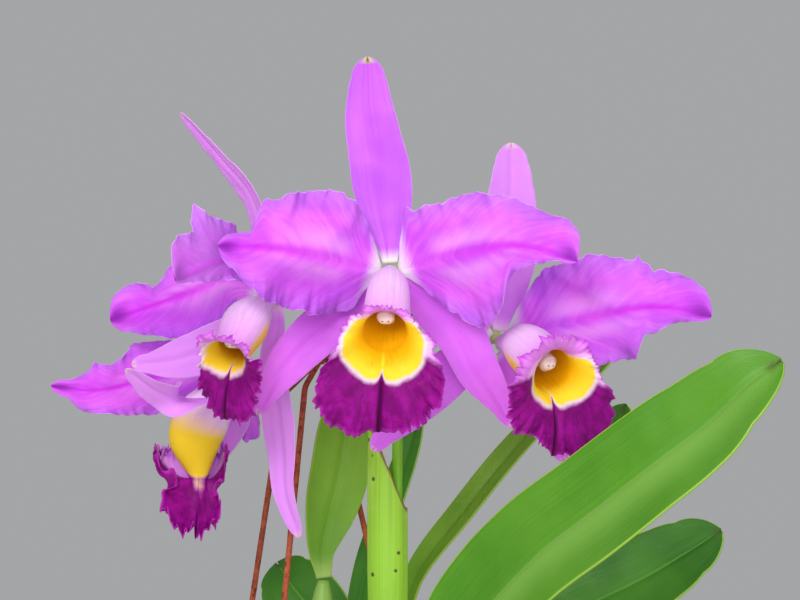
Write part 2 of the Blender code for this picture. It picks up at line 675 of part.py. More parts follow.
def build_hanger():
    """Three wires gripping the rim band from outside and meeting round the stem of a hook."""
    reach = POT_TOP_RADIUS + WIRE_RADIUS + WIRE_GAP
    under = POT_HEIGHT - RIM_BAND - WIRE_RADIUS - WIRE_GAP
    apart = HOOK_RADIUS + WIRE_RADIUS + WIRE_GAP
    for name, degrees in WIRES.items():
        angle = math.radians(degrees)
        ray = Vector((math.cos(angle), math.sin(angle), 0.0))

        def at(radius, height):
            return ray * radius + Vector((0.0, 0.0, height))

        top = Vector((APEX[0], APEX[1], 0.0)) + ray * apart
        points = [
            at(reach - 4.2, under - 0.2),
            at(reach - 1.6, under - 0.6),
            at(reach - 0.2, under + 1.2),
            at(reach, under + 5.0),
            at(reach, POT_HEIGHT - 2.0),
            at(reach - 0.2, POT_HEIGHT + 3.0),
            Vector(WIRE_BENDS[name]),
            top + Vector((0.0, 0.0, TWIST_TOP - 6.0)),
            top + Vector((0.0, 0.0, TWIST_TOP + 4.0)),
        ]
        wire(name, points, WIRE_RADIUS)
    centre = Vector((APEX[0], APEX[1], 0.0))
    points = [centre + Vector((0.0, 0.0, 373.0)), centre + Vector((0.0, 0.0, 402.0))]
    for i in range(9):
        turn = math.pi - math.radians(250.0) * i / 8
        points.append(centre + Vector((7.0 + 7.0 * math.cos(turn), 0.0, 407.0 + 7.0 * math.sin(turn))))
    wire("hanger_hook", points, HOOK_RADIUS)


def wire(name, points, radius):
    """A bent round wire that runs straight between its points."""
    start = Vector(points[0])
    curve = bpy.data.curves.new(name, "CURVE")
    curve.dimensions = "3D"
    curve.bevel_depth = radius * MM
    curve.bevel_resolution = 2
    curve.use_fill_caps = True
    line = curve.splines.new("POLY")
    line.points.add(len(points) - 1)
    for dot, place in zip(line.points, points):
        dot.co = (*((place - start) * MM), 1.0)
    line.use_smooth = True
    add_object(name, curve, start, (0.35, 0.09, 0.04), 0.75, 0.2)


for old in list(bpy.data.objects):
    bpy.data.objects.remove(old, do_unlink=True)

PARTS = new_collection("cattleya_orchid")
CUTTERS = new_collection("cutters")
CUTTERS.hide_render = True

for flower_place, flower_shape in FLOWERS.items():
    build_flower(flower_place, flower_shape)

stalk("peduncle", PEDUNCLE, (2.2, 2.2, RACHIS_RADIUS, RACHIS_RADIUS, 1.9), (0.30, 0.52, 0.14), 0.45)
sheath = spathe_rows(6, ROUND)
sheet("spathe", sheath, SPATHE_THICK, (0.36, 0.56, 0.12), 0.5, closed=True, place=SPATHE[0])

for bulb_name, (foot, waist, tip, girth) in BULBS.items():
    shape = [girth * share for share in (0.34, 0.66, 0.92, 1.0, 0.92, 0.78, 0.62, 0.5)]
    stalk("bulb_" + bulb_name, (foot, waist, tip), shape, (0.26, 0.42, 0.12), 0.5)

for leaf_name, leaf in LEAVES.items():
    leaf_shape = dict(leaf)
    leaf_shape["left"] = [w * leaf.get("width", 1.0) for w in leaf["left"]]
    leaf_shape["right"] = [w * leaf.get("width", 1.0) for w in leaf["right"]]
    rows = blade_rows(leaf_shape, LEAF_STEPS, LEAF_ACROSS)
    sheet("leaf_" + leaf_name, rows, LEAF_THICK, (0.10, 0.26, 0.05), 0.4, place=leaf["spine"][0])

for stem_name, stem_line in RHIZOMES.items():
    girths = [3.6] + [RHIZOME_RADIUS] * 10 + [3.6]
    stalk(stem_name, stem_line, girths, (0.24, 0.26, 0.10), 0.7, 14, 2)

for root_name, root_line in ROOTS.items():
    stalk(root_name, root_line, (ROOT_RADIUS, ROOT_RADIUS, 1.4), (0.55, 0.52, 0.42), 0.8, 10, 2)

inner_low_radius, inner_top_radius = build_pot()
build_bark(inner_low_radius, inner_top_radius)
build_hanger()
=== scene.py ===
# Looks of the potted cattleya orchid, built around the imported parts.
# Shapes are worked out in millimetres in the part's own frame, with +Z up and the viewing side at -Y.
import math
import random

import bmesh
import bpy
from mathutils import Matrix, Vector


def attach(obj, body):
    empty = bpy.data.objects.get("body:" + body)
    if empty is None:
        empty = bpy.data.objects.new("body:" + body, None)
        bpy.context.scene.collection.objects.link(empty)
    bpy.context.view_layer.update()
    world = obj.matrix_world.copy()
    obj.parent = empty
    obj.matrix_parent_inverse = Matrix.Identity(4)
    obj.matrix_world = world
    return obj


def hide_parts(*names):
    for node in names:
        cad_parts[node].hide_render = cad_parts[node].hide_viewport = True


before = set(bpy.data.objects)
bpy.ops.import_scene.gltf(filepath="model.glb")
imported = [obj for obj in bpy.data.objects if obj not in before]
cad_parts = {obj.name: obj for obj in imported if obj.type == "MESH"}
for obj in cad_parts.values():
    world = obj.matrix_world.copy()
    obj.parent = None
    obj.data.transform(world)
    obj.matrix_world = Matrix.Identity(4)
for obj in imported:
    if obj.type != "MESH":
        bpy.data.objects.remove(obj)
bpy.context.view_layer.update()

MM = 0.001
TAU = math.tau

# Pot and bark
POT_TOP_RADIUS = 70.0
POT_BASE_RADIUS = 48.0
POT_HEIGHT = 112.0
POT_WALL = 6.5
POT_FLOOR = 7.0
RIM_BAND = 20.0
RIM_STEP = 3.5
DRAIN_RING = 24.0
DRAIN_HOLES = 3
DRAIN_CUTTER = [(0, -9), (6.7, -9), (6.3, 0), (6.0, 1.2), (6.0, 12), (0, 12)]
BARK_TOP = 98.0
BARK_GAP = 0.4
BED_RADIUS = 60.5
CHIP_LAYERS = ((-4.6, 260), (-2.2, 300), (0.4, 150))  # height from the bark's top, and number of chips
CHIP_RINGS = ((-1.0, 0.62, 0.62), (-0.72, 1.0, 0.9), (0.0, 1.06, 1.0), (0.72, 1.0, 0.86), (1.0, 0.6, 0.55))

# Hanger
WIRE_RADIUS = 1.25
HOOK_RADIUS = 1.5
WIRE_GAP = 0.35
TWIST_TOP = 380.0
TWIST_HEIGHT = 10.0
TWIST_TURNS = 1.05
HOOK_FOOT = 373.0
HOOK_LOOP = 7.0
HOOK_HEIGHT = 407.0
HOOK_SWEEP = 250.0

# How finely each kind of piece is divided: along it and across or round it
PETAL_MESH = (110, 38)
SEPAL_MESH = (90, 28)
FRONT_LIP_MESH = (51, 380)
LIP_MESH = (42, 340)
COLUMN_MESH = (40, 28)
CAP_MESH = (18, 36)
OVARY_MESH = (60, 30)
PEDUNCLE_MESH = (110, 30)
SPATHE_MESH = (70, 84)
LEAF_MESH = (100, 36)
BULB_MESH = (90, 42)
PAPER_MESH = (30, 48)
RHIZOME_MESH = (126, 24)
ROOT_MESH = (120, 24)
WIRE_STEP = 0.9
WIRE_SIDES = 18
POT_STEP = 1.6
POT_SIDES = 120
PLUG_STEP = 4.0
PLUG_SIDES = 72
CHIP_SIDES = 12

# Widths of sepals and petals from the midrib, at equal steps from base to tip
SEPAL = (3.0, 5.0, 8.0, 9.5, 9.8, 9.6, 9.0, 8.2, 6.4, 4.0, 0.6)
BROAD_SEPAL = (3.0, 5.5, 9.2, 11.1, 12.1, 11.8, 11.1, 10.4, 8.9, 6.9, 1.0)
LONG_SEPAL = (2.6, 4.0, 5.4, 6.6, 7.6, 8.2, 7.4, 6.2, 5.2, 4.0, 0.6)
HIDDEN_PETAL = (2.2, 4.4, 7.2, 10.4, 11.6, 11.8, 10.0, 6.0, 0.8)
BROAD_LEAF = (3.6, 10.0, 17.0, 21.0, 22.6, 23.4, 23.8, 23.4, 22.0, 17.0, 1.6)
FULL_LEAF = (3.6, 13.5, 22.5, 25.4, 25.4, 24.8, 24.2, 23.4, 22.0, 17.0, 1.6)
NARROW_LEAF = (3.0, 5.0, 7.0, 8.6, 9.6, 10.0, 10.0, 9.4, 8.4, 6.4, 1.0)
CURVED_LEAF = (3.0, 4.8, 7.6, 10.2, 11.8, 12.4, 12.6, 12.4, 11.0, 7.6, 1.0)


def blade(spine, face, cup, left, right=None, wave=None, width=1.0):
    """A sepal, petal or leaf: its spine, the way its face looks at base and tip, how far its edges bend
    forward, its half widths, and the height, number and start of its edge's waves. Left and right are
    as seen with the tip up and the face in front."""
    return {"spine": spine, "face": face, "cup": cup, "left": left, "right": right or left, "wave": wave,
            "width": width}


# Every blade, lip, column and stalk is given from the middle of its flower. A lip's lists run from the
# bottom of its mouth round to the top. Pairs are for its right and its left side. "gold" says how far
# the gold reaches out from the middle of the mouth.
FLOWERS = {
    "front": {
        "middle": (36.0, -60.0, 411.2),
        "blades": {
            "dorsal_sepal": blade(
                ((0, 0.4, 3.6), (-1, 3, 19), (-4, 5, 41), (-8, 4, 63), (-9, -1, 86)),
                ((0, -1, 0.1), (0.05, -1, -0.25)), 0.12, BROAD_SEPAL),
            "left_petal": blade(
                ((-3.8, -1.2, 0.4), (-16, -9, 3), (-28, -15, 6), (-43, -21, 9), (-57, -26, 10),
                 (-67, -29, 10)),
                ((-0.3, -1, 0), (-0.4, -1, 0.1)), -0.1,
                (2, 9.0, 18.5, 25.5, 26.2, 24.4, 23.0, 22.2, 21.6, 19.7, 14.5, 8.6, 0.6),
                (2.4, 12.0, 18.5, 23.7, 26.2, 26.4, 25.0, 23.2, 20.2, 15.2, 6.4, 4.8, 0.6),
                wave=(1.8, 3.0, 0.6)),
            "right_petal": blade(
                ((3.8, -1.2, 0.4), (16, -9, 4), (32, -17, 8), (47, -23, 10), (61, -27, 8), (73, -30, 4)),
                ((0.3, -1, 0), (0.35, -1, 0.1)), -0.1,
                (2.4, 14.8, 21.3, 21.9, 21.7, 22.1, 22.7, 20.7, 18.4, 16.2, 15.0, 13.3, 0.6),
                (2, 9.0, 18.0, 22.0, 30.0, 33.0, 30.5, 25.2, 12.4, 7.0, 4.8, 2.5, 0.6),
                wave=(2.0, 3.0, 2.4)),
            "left_sepal": blade(
                ((-2.6, 0.4, -3.0), (-18, 3, -15), (-34, 2, -29), (-45, 0, -42), (-53, -3, -57)),
                ((0, -1, 0), (-0.1, -1, 0.1)), 0.12, SEPAL),
            "right_sepal": blade(
                ((2.6, 0.4, -3.0), (17, 3, -14), (28, 2, -25), (35, 1, -39), (43, -1, -51), (49, -4, -62)),
                ((0, -1, 0), (0.1, -1, 0.1)), 0.12, SEPAL),
        },
        "lip": {
            "tube": ((0.0, -3.0, -0.6), (-0.6, -19.0, -8.0), (-1.8, -33.0, -23.0)),
            "mouth": (-0.04, -0.96, -0.3),
            "down": (-0.06, 0.3, -0.95),
            "flare": 100.0, "mid": (0.37, 0.37), "split": 0.1, "cleft": 0.04,
            "radii": (3.2, 7.2, 8.6, 8.8),
            "rim": ((38.5, 36.5, 33.5, 25.0, 18.2, 14.8, 12.8, 11.8, 11.0),
                    (38.5, 41.5, 35.0, 22.5, 17.0, 15.4, 13.6, 12.2, 11.0)),
            "reach": (13.0, 13.0, 12.0, 11.0, 9.0, 8.0, 7.0, 6.0, 5.0),
            "gold": ((17.0, 17.8, 17.4, 16.6, 14.6, 11.6, 2.0, -22.0, -30.0),) * 2,
        },
        "column": ((0.0, -0.6, 0.0), (-0.4, -14.0, -3.0), (-1.2, -26.0, -12.0), (-1.6, -31.5, -18.6)),
        "ovary": ((3.2, 30.4, -16.8), (1.1, 24.0, -6.3), (0.6, 14.0, -2.3), (0.2, 1.3, 0.2)),
    },
    "right": {
        "middle": (79.7, -45.0, 383.4),
        "blades": {
            "dorsal_sepal": blade(
                ((0.8, 0.9, 4.0), (2, 3, 19), (4, 1, 39), (5, -2, 59), (5, -5, 80)),
                ((0.3, -1, 0), (0.3, -1, -0.2)), 0.12, BROAD_SEPAL),
            "right_petal": blade(
                ((4.6, -0.1, 1.6), (19, -5, 5), (36, -10, 9), (54, -15, 13), (70, -21, 13), (84, -23, 10)),
                ((0.3, -1, -0.1), (0.25, -1, 0.1)), -0.1,
                (2.4, 10.5, 18.7, 23.3, 24.0, 24.9, 24.1, 21.4, 18.7, 15.8, 14.2, 11.1, 0.6),
                (1.8, 4.6, 9.6, 14.0, 17.3, 19.3, 20.0, 20.0, 13.1, 9.3, 5.3, 3.7, 0.6),
                wave=(2.0, 3.0, 0.2)),
            "left_petal": blade(
                ((-3.2, -2.6, 1.6), (-10, -3.4, 8), (-15, -3, 17), (-20, -2, 29), (-21, 1, 41),
                 (-21, 6, 52)),
                ((0.5, -1, 0), (0.2, -1, 0)), 0.0, HIDDEN_PETAL),
            "left_sepal": blade(
                ((-2.6, 0.4, -2.6), (-14, -1, -8), (-27, -3, -19), (-40, -6, -31), (-51, -9, -44)),
                ((0.2, -1, 0), (0, -1, 0.1)), 0.12, SEPAL),
            "right_sepal": blade(
                ((1.5, 1.0, -3.6), (8, 5, -14), (16, 7, -26), (22, 7, -37), (27, 4, -49)),
                ((0.3, -1, 0), (0.3, -1, 0)), 0.12, SEPAL),
        },
        "lip": {
            "tube": ((1.8, -2.8, -0.9), (9.5, -16.0, -1.6), (19.5, -33.5, -10.8)),
            "mouth": (0.5, -0.8, -0.33),
            "down": (0.2, -0.25, -0.95),
            "flare": 100.0, "mid": (0.42, 0.48), "split": 0.12,
            "radii": (3.2, 9.4, 9.2),
            "rim": ((32.0, 35.0, 35.0, 28.0, 18.0, 16.4, 16.0, 16.5, 16.5),
                    (32.0, 25.5, 28.5, 26.5, 23.6, 21.5, 19.5, 17.5, 16.5)),
            "reach": (11.0, 11.0, 10.0, 10.0, 9.0, 8.0, 7.0, 6.0, 6.0),
            "gold": ((12.2, 13.4, 15.0, 16.0, 15.4, 12.0, 2.0, -20.0, -30.0),
                     (12.2, 12.2, 12.4, 12.0, 10.8, 8.0, 0.0, -20.0, -30.0)),
        },
        "column": ((0.2, -0.1, 0.0), (6.8, -11.8, -1.2), (15.0, -24.0, -4.4), (19.0, -30.0, -8.8)),
        "ovary": ((-37.1, 16.2, 7.7), (-27.4, 16, 14), (-15, 14, 13.3), (-5, 8, 6.4), (-1.1, 1.8, 1.0)),
    },
    "upper_left": {
        "middle": (-11.6, -50.0, 401.6),
        "blades": {
            "dorsal_sepal": blade(
                ((-1.4, 1.6, 4.2), (-3, -2, 20), (-8, -5, 40), (-20, -4, 55), (-37, -2, 74)),
                ((-0.8, -0.45, -0.4), (-0.8, -0.4, -0.5)), 0.12, LONG_SEPAL),
            "left_petal": blade(
                ((-3.6, 2.9, 0.2), (-19, 15, 7), (-34, 25, 2), (-49, 32, -3), (-60, 37, -7),
                 (-69, 40, -10)),
                ((-0.4, -1, 0), (-0.3, -1, 0.1)), -0.08,
                (2, 5.3, 8.7, 12.0, 15.3, 18.7, 19.7, 19.1, 16.3, 13.5, 10.7, 7.0, 1.2),
                (2.4, 5.9, 8.8, 11.2, 13.2, 15.2, 15.0, 13.3, 7.7, 9.4, 12.2, 10.8, 1.2),
                wave=(1.6, 3.0, 0.4)),
            "right_petal": blade(
                ((1.8, -4.0, 1.6), (-6, -14, 10), (-15, -25, 14), (-23, -36, 12), (-30, -46, 9),
                 (-35, -54, 6)),
                ((-0.85, 0.4, -0.1), (-0.85, 0.45, 0.0)), 0.08,
                (2.4, 5.1, 7.2, 9.5, 12.0, 14.3, 16.6, 19.2, 21.5, 15.9, 15.2, 15.0, 4.0),
                (1.6, 2.4, 4.0, 6.0, 7.0, 7.9, 7.7, 7.5, 6.7, 5.6, 4.3, 2.7, 1.0),
                wave=(1.4, 3.0, 1.0)),
            "left_sepal": blade(
                ((-1.4, 3.6, -4.2), (-14, 12, -16), (-30, 20, -23), (-45, 24, -27), (-59, 26, -28)),
                ((-0.4, -0.9, -0.3), (-0.3, -1, 0)), 0.12, SEPAL),
            "right_sepal": blade(
                ((2.8, -1.8, -3.2), (2.4, 0.4, -12), (0, 2, -23), (2, 2, -42), (4, 2, -62), (5, 2, -80),
                 (11, 4, -98)),
                ((-0.6, -0.75, -0.2), (-0.5, -0.8, 0)), 0.12, LONG_SEPAL),
        },
        "lip": {
            "tube": ((-1.6, -2.2, -1.8), (-8.8, -13.0, -9.4), (-14.4, -27.0, -20.8)),
            "mouth": (-0.44, -0.78, -0.44),
            "down": (0.036, 0.46, -0.886),
            "flare": 100.0, "mid": (0.56, 0.36), "split": 0.12, "cleft": 0.06, "curl": 1.1,
            "radii": (3.2, 9.0, 7.2),
            "rim": ((28.5, 26.5, 21.0, 18.0, 17.0, 16.5, 15.0, 13.5, 13.0),
                    (28.5, 22.5, 14.5, 11.0, 10.0, 10.4, 12.0, 13.0, 13.0)),
            "reach": (10.0, 10.0, 9.0, 9.0, 9.0, 10.0, 12.0, 13.0, 13.5),
            "gold": ((8.8, 8.6, 8.2, 7.6, 7.0, 5.0, 0.0, -10.0, -20.0),
                     (8.8, 9.0, 9.2, 9.0, 8.6, 7.4, 3.0, -8.0, -20.0)),
        },
        "column": ((-0.05, 0.0, 0.0), (-6.6, -10.6, -4.9), (-12.6, -20.2, -13.4), (-15.0, -24.0, -18.6)),
        "ovary": ((47.9, 20.8, -10.4), (39, 21, -2.4), (27, 20, 1.7), (13, 14, 2.5), (0.45, 0.8, 0.65)),
    },
    "lower_left": {
        "middle": (-24.3, -15.0, 368.5),
        "blades": {
            "dorsal_sepal": blade(
                ((-2.2, 2.8, 2.8), (-6, 10, 17), (-9, 15, 32), (-13, 17, 43), (-15, 17, 53)),
                ((-0.6, -0.8, 0), (-0.5, -0.8, 0)), 0.1, SEPAL),
            "right_petal": blade(
                ((-3.5, 1.4, 0.8), (-15, 10, 3), (-31, 14, 1), (-47, 9, -3), (-62, 1, -6), (-80, -4, -4)),
                ((-0.1, -1, -0.1), (-0.1, -1, 0.1)), -0.08,
                (2, 6.9, 10.9, 12.6, 13.4, 14.2, 14.9, 13.7, 12.1, 10.3, 8.6, 4.0, 0.6),
                (2.4, 6.9, 10.9, 12.6, 13.4, 14.4, 16.3, 12.3, 9.7, 11.1, 7.1, 3.5, 0.6),
                wave=(1.6, 3.0, 0.9)),
            "left_petal": blade(
                ((0.6, 3.6, -0.6), (2, 13, -6), (2, 23, -13), (0, 33, -20), (-3, 41, -28)),
                ((-0.9, 0.1, -0.4), (-0.9, 0.1, -0.4)), 0.0, HIDDEN_PETAL),
            "right_sepal": blade(
                ((-1.2, -3.6, -0.4), (-8, -14, -8), (-21, -27, -10), (-34, -39, -5), (-45, -47, 4)),
                ((-0.6, -0.5, 0.6), (-0.6, -0.8, 0)), 0.1, (2.6, 4.6, 6.0, 6.8, 7.4, 7.8, 7.6, 7.0, 6.0,
                 4.2, 0.6)),
            "left_sepal": blade(
                ((-1.0, 4.4, -3.0), (-6, 16, -15), (-13, 23, -27), (-19, 28, -37), (-23, 31, -45)),
                ((-0.5, -0.8, -0.3), (-0.5, -0.8, -0.3)), 0.1, SEPAL),
        },
        "lip": {
            "tube": ((-2.6, 0.4, -5.0), (-15.4, 0.4, -14.6), (-20.8, 1.8, -26.0), (-19.3, 1.5, -43.0)),
            "mouth": (-0.04, -0.15, -0.98),
            "down": (0.05, -0.98, 0.0),
            "flare": 80.0, "mid": (0.36, 0.36), "split": 0.4, "cleft": 0.1, "lean": -0.26, "curl": 1.8,
             "roll": 1.0, "uneven": 0.12, "open": 40.0, "dark": 0.6,
            "radii": (3.7, 10.4, 10.4, 3.4),
            "rim": ((16.0, 17.0, 16.5, 14.5, 14.5, 14.0, 13.0, 12.0, 11.0),) * 2,
            "reach": (24.5, 22.5, 16.0, 6.0, -8.0, -13.0, -14.0, -12.0, -8.0),
            "gold": ((2.6, 2.4, 1.6, 0.6, -2.0, -6.0, -8.0, -8.0, -8.0),) * 2,
        },
        "column": ((-0.6, 0.2, -0.8), (-5.4, 1.0, -8.0), (-13.0, 3.4, -15.0), (-18.6, 4.6, -24.0),
         (-20.4, 4.4, -31.0)),
        "ovary": ((60.9, -14.2, 15.9), (47.8, -5, 15.8), (28.9, 3, 10.7), (12.2, 5, 5.7), (1.3, 0.4, 1.5)),
    },
}

# Bulbs: foot, middle, top and greatest radius. Every bulb carries one leaf.
BULBS = {
    "front": ((31, -36, 108), (36.6, -42, 168), (38, -40, 226), 11.0),
    "lower_right": ((52, -10, 108), (56, -8, 160), (57, -2, 212), 10.0),
    "mid_left": ((-1, -12, 108), (4, -15, 195), (8, -8, 283), 9.5),
    "low_left": ((-20, 21, 108.7), (-4, 30, 160), (14, 33, 219), 10.0),
    "behind_sheath": ((12, 12.5, 108), (16, 17, 172), (20, 15, 236), 10.0),
    "back_right": ((34, 14, 108), (35, 17, 170), (37, 18, 233), 10.0),
    "back_far": ((40, 34, 108), (54, 34, 158), (66, 29, 208), 10.0),
}

LEAVES = {
    "front": blade(
        ((42.5, -43.9, 228.2), (54, -50, 249), (72, -62, 274), (94, -80, 300), (116, -95, 319),
         (137, -107, 337), (157, -115, 353), (173, -121, 369), (185, -122, 377)),
        ((-0.5, -0.75, 0.35), (-0.45, -0.8, 0.5)), 0.16, FULL_LEAF, BROAD_LEAF),
    "lower_right": blade(
        ((57.1, -1.9, 214.4), (74, -2, 242), (107, -4, 266), (144, -6, 285), (174, -10, 304)),
        ((-0.5, -0.8, 0.4), (-0.4, -0.8, 0.4)), 0.16, BROAD_LEAF, width=0.8),
    "mid_left": blade(
        ((8.2, -7.6, 284.0), (7.2, -7, 295), (10, -6, 309), (14.2, -5, 327), (17, -5.5, 344),
         (18.6, -7, 358), (17.6, -9, 369)),
        ((0.1, -1, -0.3), (0.2, -1, -0.4)), 0.2, CURVED_LEAF),
    "low_left": blade(
        ((14.5, 33.1, 221.0), (12, 37, 246), (3, 44, 263), (-7, 50, 275), (-14, 56, 285)),
        ((-0.2, -0.9, 0.2), (-0.4, -0.8, 0.5)), 0.16, BROAD_LEAF, width=0.7),
    "behind_sheath": blade(
        ((20.1, 15.0, 236.9), (21, 14, 262), (26, 13, 286), (35, 12, 312), (44, 12, 338), (49, 16, 360)),
        ((-0.3, -1, 0.1), (-0.3, -1, 0.1)), 0.2, NARROW_LEAF, width=0.6),
    "back_right": blade(
        ((37.2, 18.0, 234.4), (41, 13, 260), (47, 9, 284), (67, 6, 311), (89, 8, 338), (112, 10, 361),
         (131, 12, 377)),
        ((-0.6, -0.7, 0.4), (-0.5, -0.8, 0.4)), 0.2, NARROW_LEAF, width=0.66),
    "back_far": blade(
        ((66.2, 29.0, 209.0), (77, 28, 238), (90, 30, 264), (107, 33, 296), (124, 36, 326), (138, 38, 355)),
        ((-0.6, -0.7, 0.4), (-0.5, -0.8, 0.4)), 0.18, BROAD_LEAF, width=0.6),
}

PEDUNCLE = ((38.0, -37.2, 226.8), (38.6, -37.6, 262), (38.8, -38.2, 294), (38.8, -37.4, 331),
            (39.2, -33, 359), (39.6, -30.0, 382), (39.6, -29, 393))
SPATHE = ((37.8, -37.2, 227.2), (35.4, -38.4, 262), (34.9, -38.8, 300), (34.9, -38.6, 352))
SPATHE_SIDE = (3.9, 7.0, 7.4, 7.4, 7.0)
SPATHE_DEEP = (3.4, 5.2, 5.6, 5.6, 5.2)
SPATHE_CUT = (315.0, 350.0)

RHIZOMES = {
    "rhizome_main": ((-31, 20, 103.0), (-20, 21, 103.0), (-4, 17, 103.0), (12, 12.5, 103.0),
                     (24, 13, 103.0),
                     (36, 11, 103.0), (45, 1, 103.0), (52, -10, 103.0), (54, -15, 103.0)),
    "rhizome_front": ((9.0, 6.8, 103.0), (3, -3, 103.0), (-1, -12, 103.0), (8, -23, 103.0),
                      (20, -30, 103.0),
                      (31, -36, 103.0), (36, -39.5, 103.0)),
    "rhizome_back": ((35.4, 17.0, 103.0), (38, 26, 103.0), (40, 34, 103.0), (41, 38, 103.0)),
}
RHIZOME_RADIUS = 4.6

ROOTS = {
    "root_front": ((4.0, -28.6, 100.6), (-6, -36, 100.4), (-20, -40, 100.4), (-32, -36, 100.4),
                   (-44, -30, 100.4)),
    "root_left": ((-36.6, 18.6, 100.6), (-46, 12, 100.4), (-50, 0, 100.4), (-46, -12, 100.4)),
}
ROOT_RADIUS = 1.9

# The three wires: direction round the pot in degrees
WIRES = {"hanger_wire_right": 12.0, "hanger_wire_back": 132.0, "hanger_wire_left": 252.0}
APEX = (7.0, 0.0)
WIRE_BENDS = {
    "hanger_wire_right": (9.8, 0.6, 368.0),
    "hanger_wire_back": (-9.4, 8.4, 360.0),
    "hanger_wire_left": (0.4, -10.0, 363.8),
}


def at_length(points, share):
    """Place at a share of the length of a smooth line through the points."""
    knots = [Vector(p) for p in points]
    steps = [(b - a).length for a, b in zip(knots, knots[1:])]
    along = max(0.0, min(1.0, share)) * sum(steps)
    i = 0
    while i < len(steps) - 1 and along > steps[i]:
        along -= steps[i]
        i += 1

    def slope(k):
        if k == 0:
            return (knots[1] - knots[0]) / steps[0]
        if k == len(steps):
            return (knots[-1] - knots[-2]) / steps[-1]
        return (knots[k + 1] - knots[k - 1]) / (steps[k - 1] + steps[k])

    x = along / steps[i]
    start = knots[i] * (2 * x**3 - 3 * x**2 + 1) + slope(i) * steps[i] * (x**3 - 2 * x**2 + x)
    end = knots[i + 1] * (3 * x**2 - 2 * x**3) + slope(i + 1) * steps[i] * (x**3 - x**2)
    return start + end


def between(values, share):
    """Value at a share of the way through evenly spaced values."""
    place = max(0.0, min(1.0, share)) * (len(values) - 1)
    i = min(int(place), len(values) - 2)
    return values[i] + (values[i + 1] - values[i]) * (place - i)


def frame_at(points, share, face, gap=0.02):
    """Place, direction, side and face of a blade at a share of its length."""
    place = at_length(points, share)
    along = (at_length(points, share + gap) - at_length(points, share - gap)).normalized()
    face = Vector(face)
    out = (face - along * face.dot(along)).normalized()
    return place, along, along.cross(out), out


def smooth(values, share):
    """Value of a smooth curve through evenly spaced values."""
    last = len(values) - 1
    place = max(0.0, min(1.0, share)) * last
    i = min(int(place), last - 1)
    x = place - i
    before = values[max(0, i - 1)]
    after = values[min(last, i + 2)]
    low = (values[i + 1] - before) / 2
    high = (after - values[i]) / 2
    start = values[i] * (2 * x**3 - 3 * x**2 + 1) + low * (x**3 - 2 * x**2 + x)
    return start + values[i + 1] * (3 * x**2 - 2 * x**3) + high * (x**3 - x**2)


def width_at(values, share):
    """Smooth half width along a blade, rounded off at its tip."""
    last = len(values) - 1
    place = max(0.0, min(1.0, share)) * last
    i = min(int(place), last - 1)
    x = place - i
    if i == last - 1:
        return values[last] + (values[i] - values[last]) * (1 - x**1.9) ** 0.75
    return smooth(values, share)


def ripple(x, seed, lowest, count=4):
    """An uneven wave that never quite repeats, about -1 to 1."""
    total = 0.0
    for k in range(count):
        total += math.sin(x * lowest * 1.7**k + seed * (k + 1.31)) / (1 + 0.7 * k)
    return total / 1.6


def bell(x, width):
    """A hump of height 1 round x = 0."""
    return math.exp(-((x / width) ** 2))


def rise(x, low, high):
    """Smooth step from 0 to 1 between low and high."""
    x = max(0.0, min(1.0, (x - low) / (high - low)))
    return x * x * (3 - 2 * x)


def tepal_rows(blade, steps, across, seed, notches=(), dents=()):
    """Fine rows of points over a sepal or petal, with a grooved midrib and a ruffled edge."""
    high, count, start = blade["wave"] or (0.0, 1.0, 0.0)
    frilly = 1.0 if blade["wave"] else 0.14
    rows = []
    for i in range(steps + 1):
        share = i / steps
        face = Vector(blade["face"][0]).lerp(Vector(blade["face"][1]), share)
        place, _, side, out = frame_at(blade["spine"], share, face)
        hump = math.sin(math.pi * share)
        row = []
        for j in range(across + 1):
            t = 2 * j / across - 1
            v = math.copysign(abs(t) ** 0.9, t)
            hand = 1 if v > 0 else -1
            wide = width_at(blade["right"] if v > 0 else blade["left"], share)
            jitter = ripple(share, seed + hand, 31.0, 3) * 0.024
            jitter += ripple(share, seed * hand, 110.0, 3) * 0.017
            wide *= 1 + jitter * frilly * min(1.0, 3 * hump)
            for where, spot, size, span in notches:
                if where == hand:
                    wide += size * bell(share - spot, span)
            lift = blade["cup"] * wide * v * v
            turn = start + (1.3 if v > 0 else 0.0)
            lift += high * abs(v) ** 3 * math.sin(TAU * count * share + turn) * hump
            lift += 1.5 * frilly * abs(v) ** 5 * ripple(share, seed + 2 * hand, 38.0, 3) * min(1.0, 2 * hump)
            lift += 0.5 * frilly * abs(v) ** 9 * ripple(share, seed + 3 * hand, 120.0, 2) * min(1.0, 2 * hump)
            lift += 1.1 * frilly * v * v * ripple(share - 0.25 * abs(v), seed + 5 * hand, 15.0, 3) * hump
            for spot, where, deep, wide_span, long_span, skew in dents:
                lift += deep * bell(v - spot, wide_span) * bell(share - where + skew * v, long_span)
            lift -= 0.55 * bell(v * wide, 1.1) * min(1.0, 4 * hump)
            lift += 0.22 * bell(abs(v * wide) - 2.6, 1.2) * hump
            row.append(place + side * (v * wide) + out * lift)
        rows.append(row)
    return rows


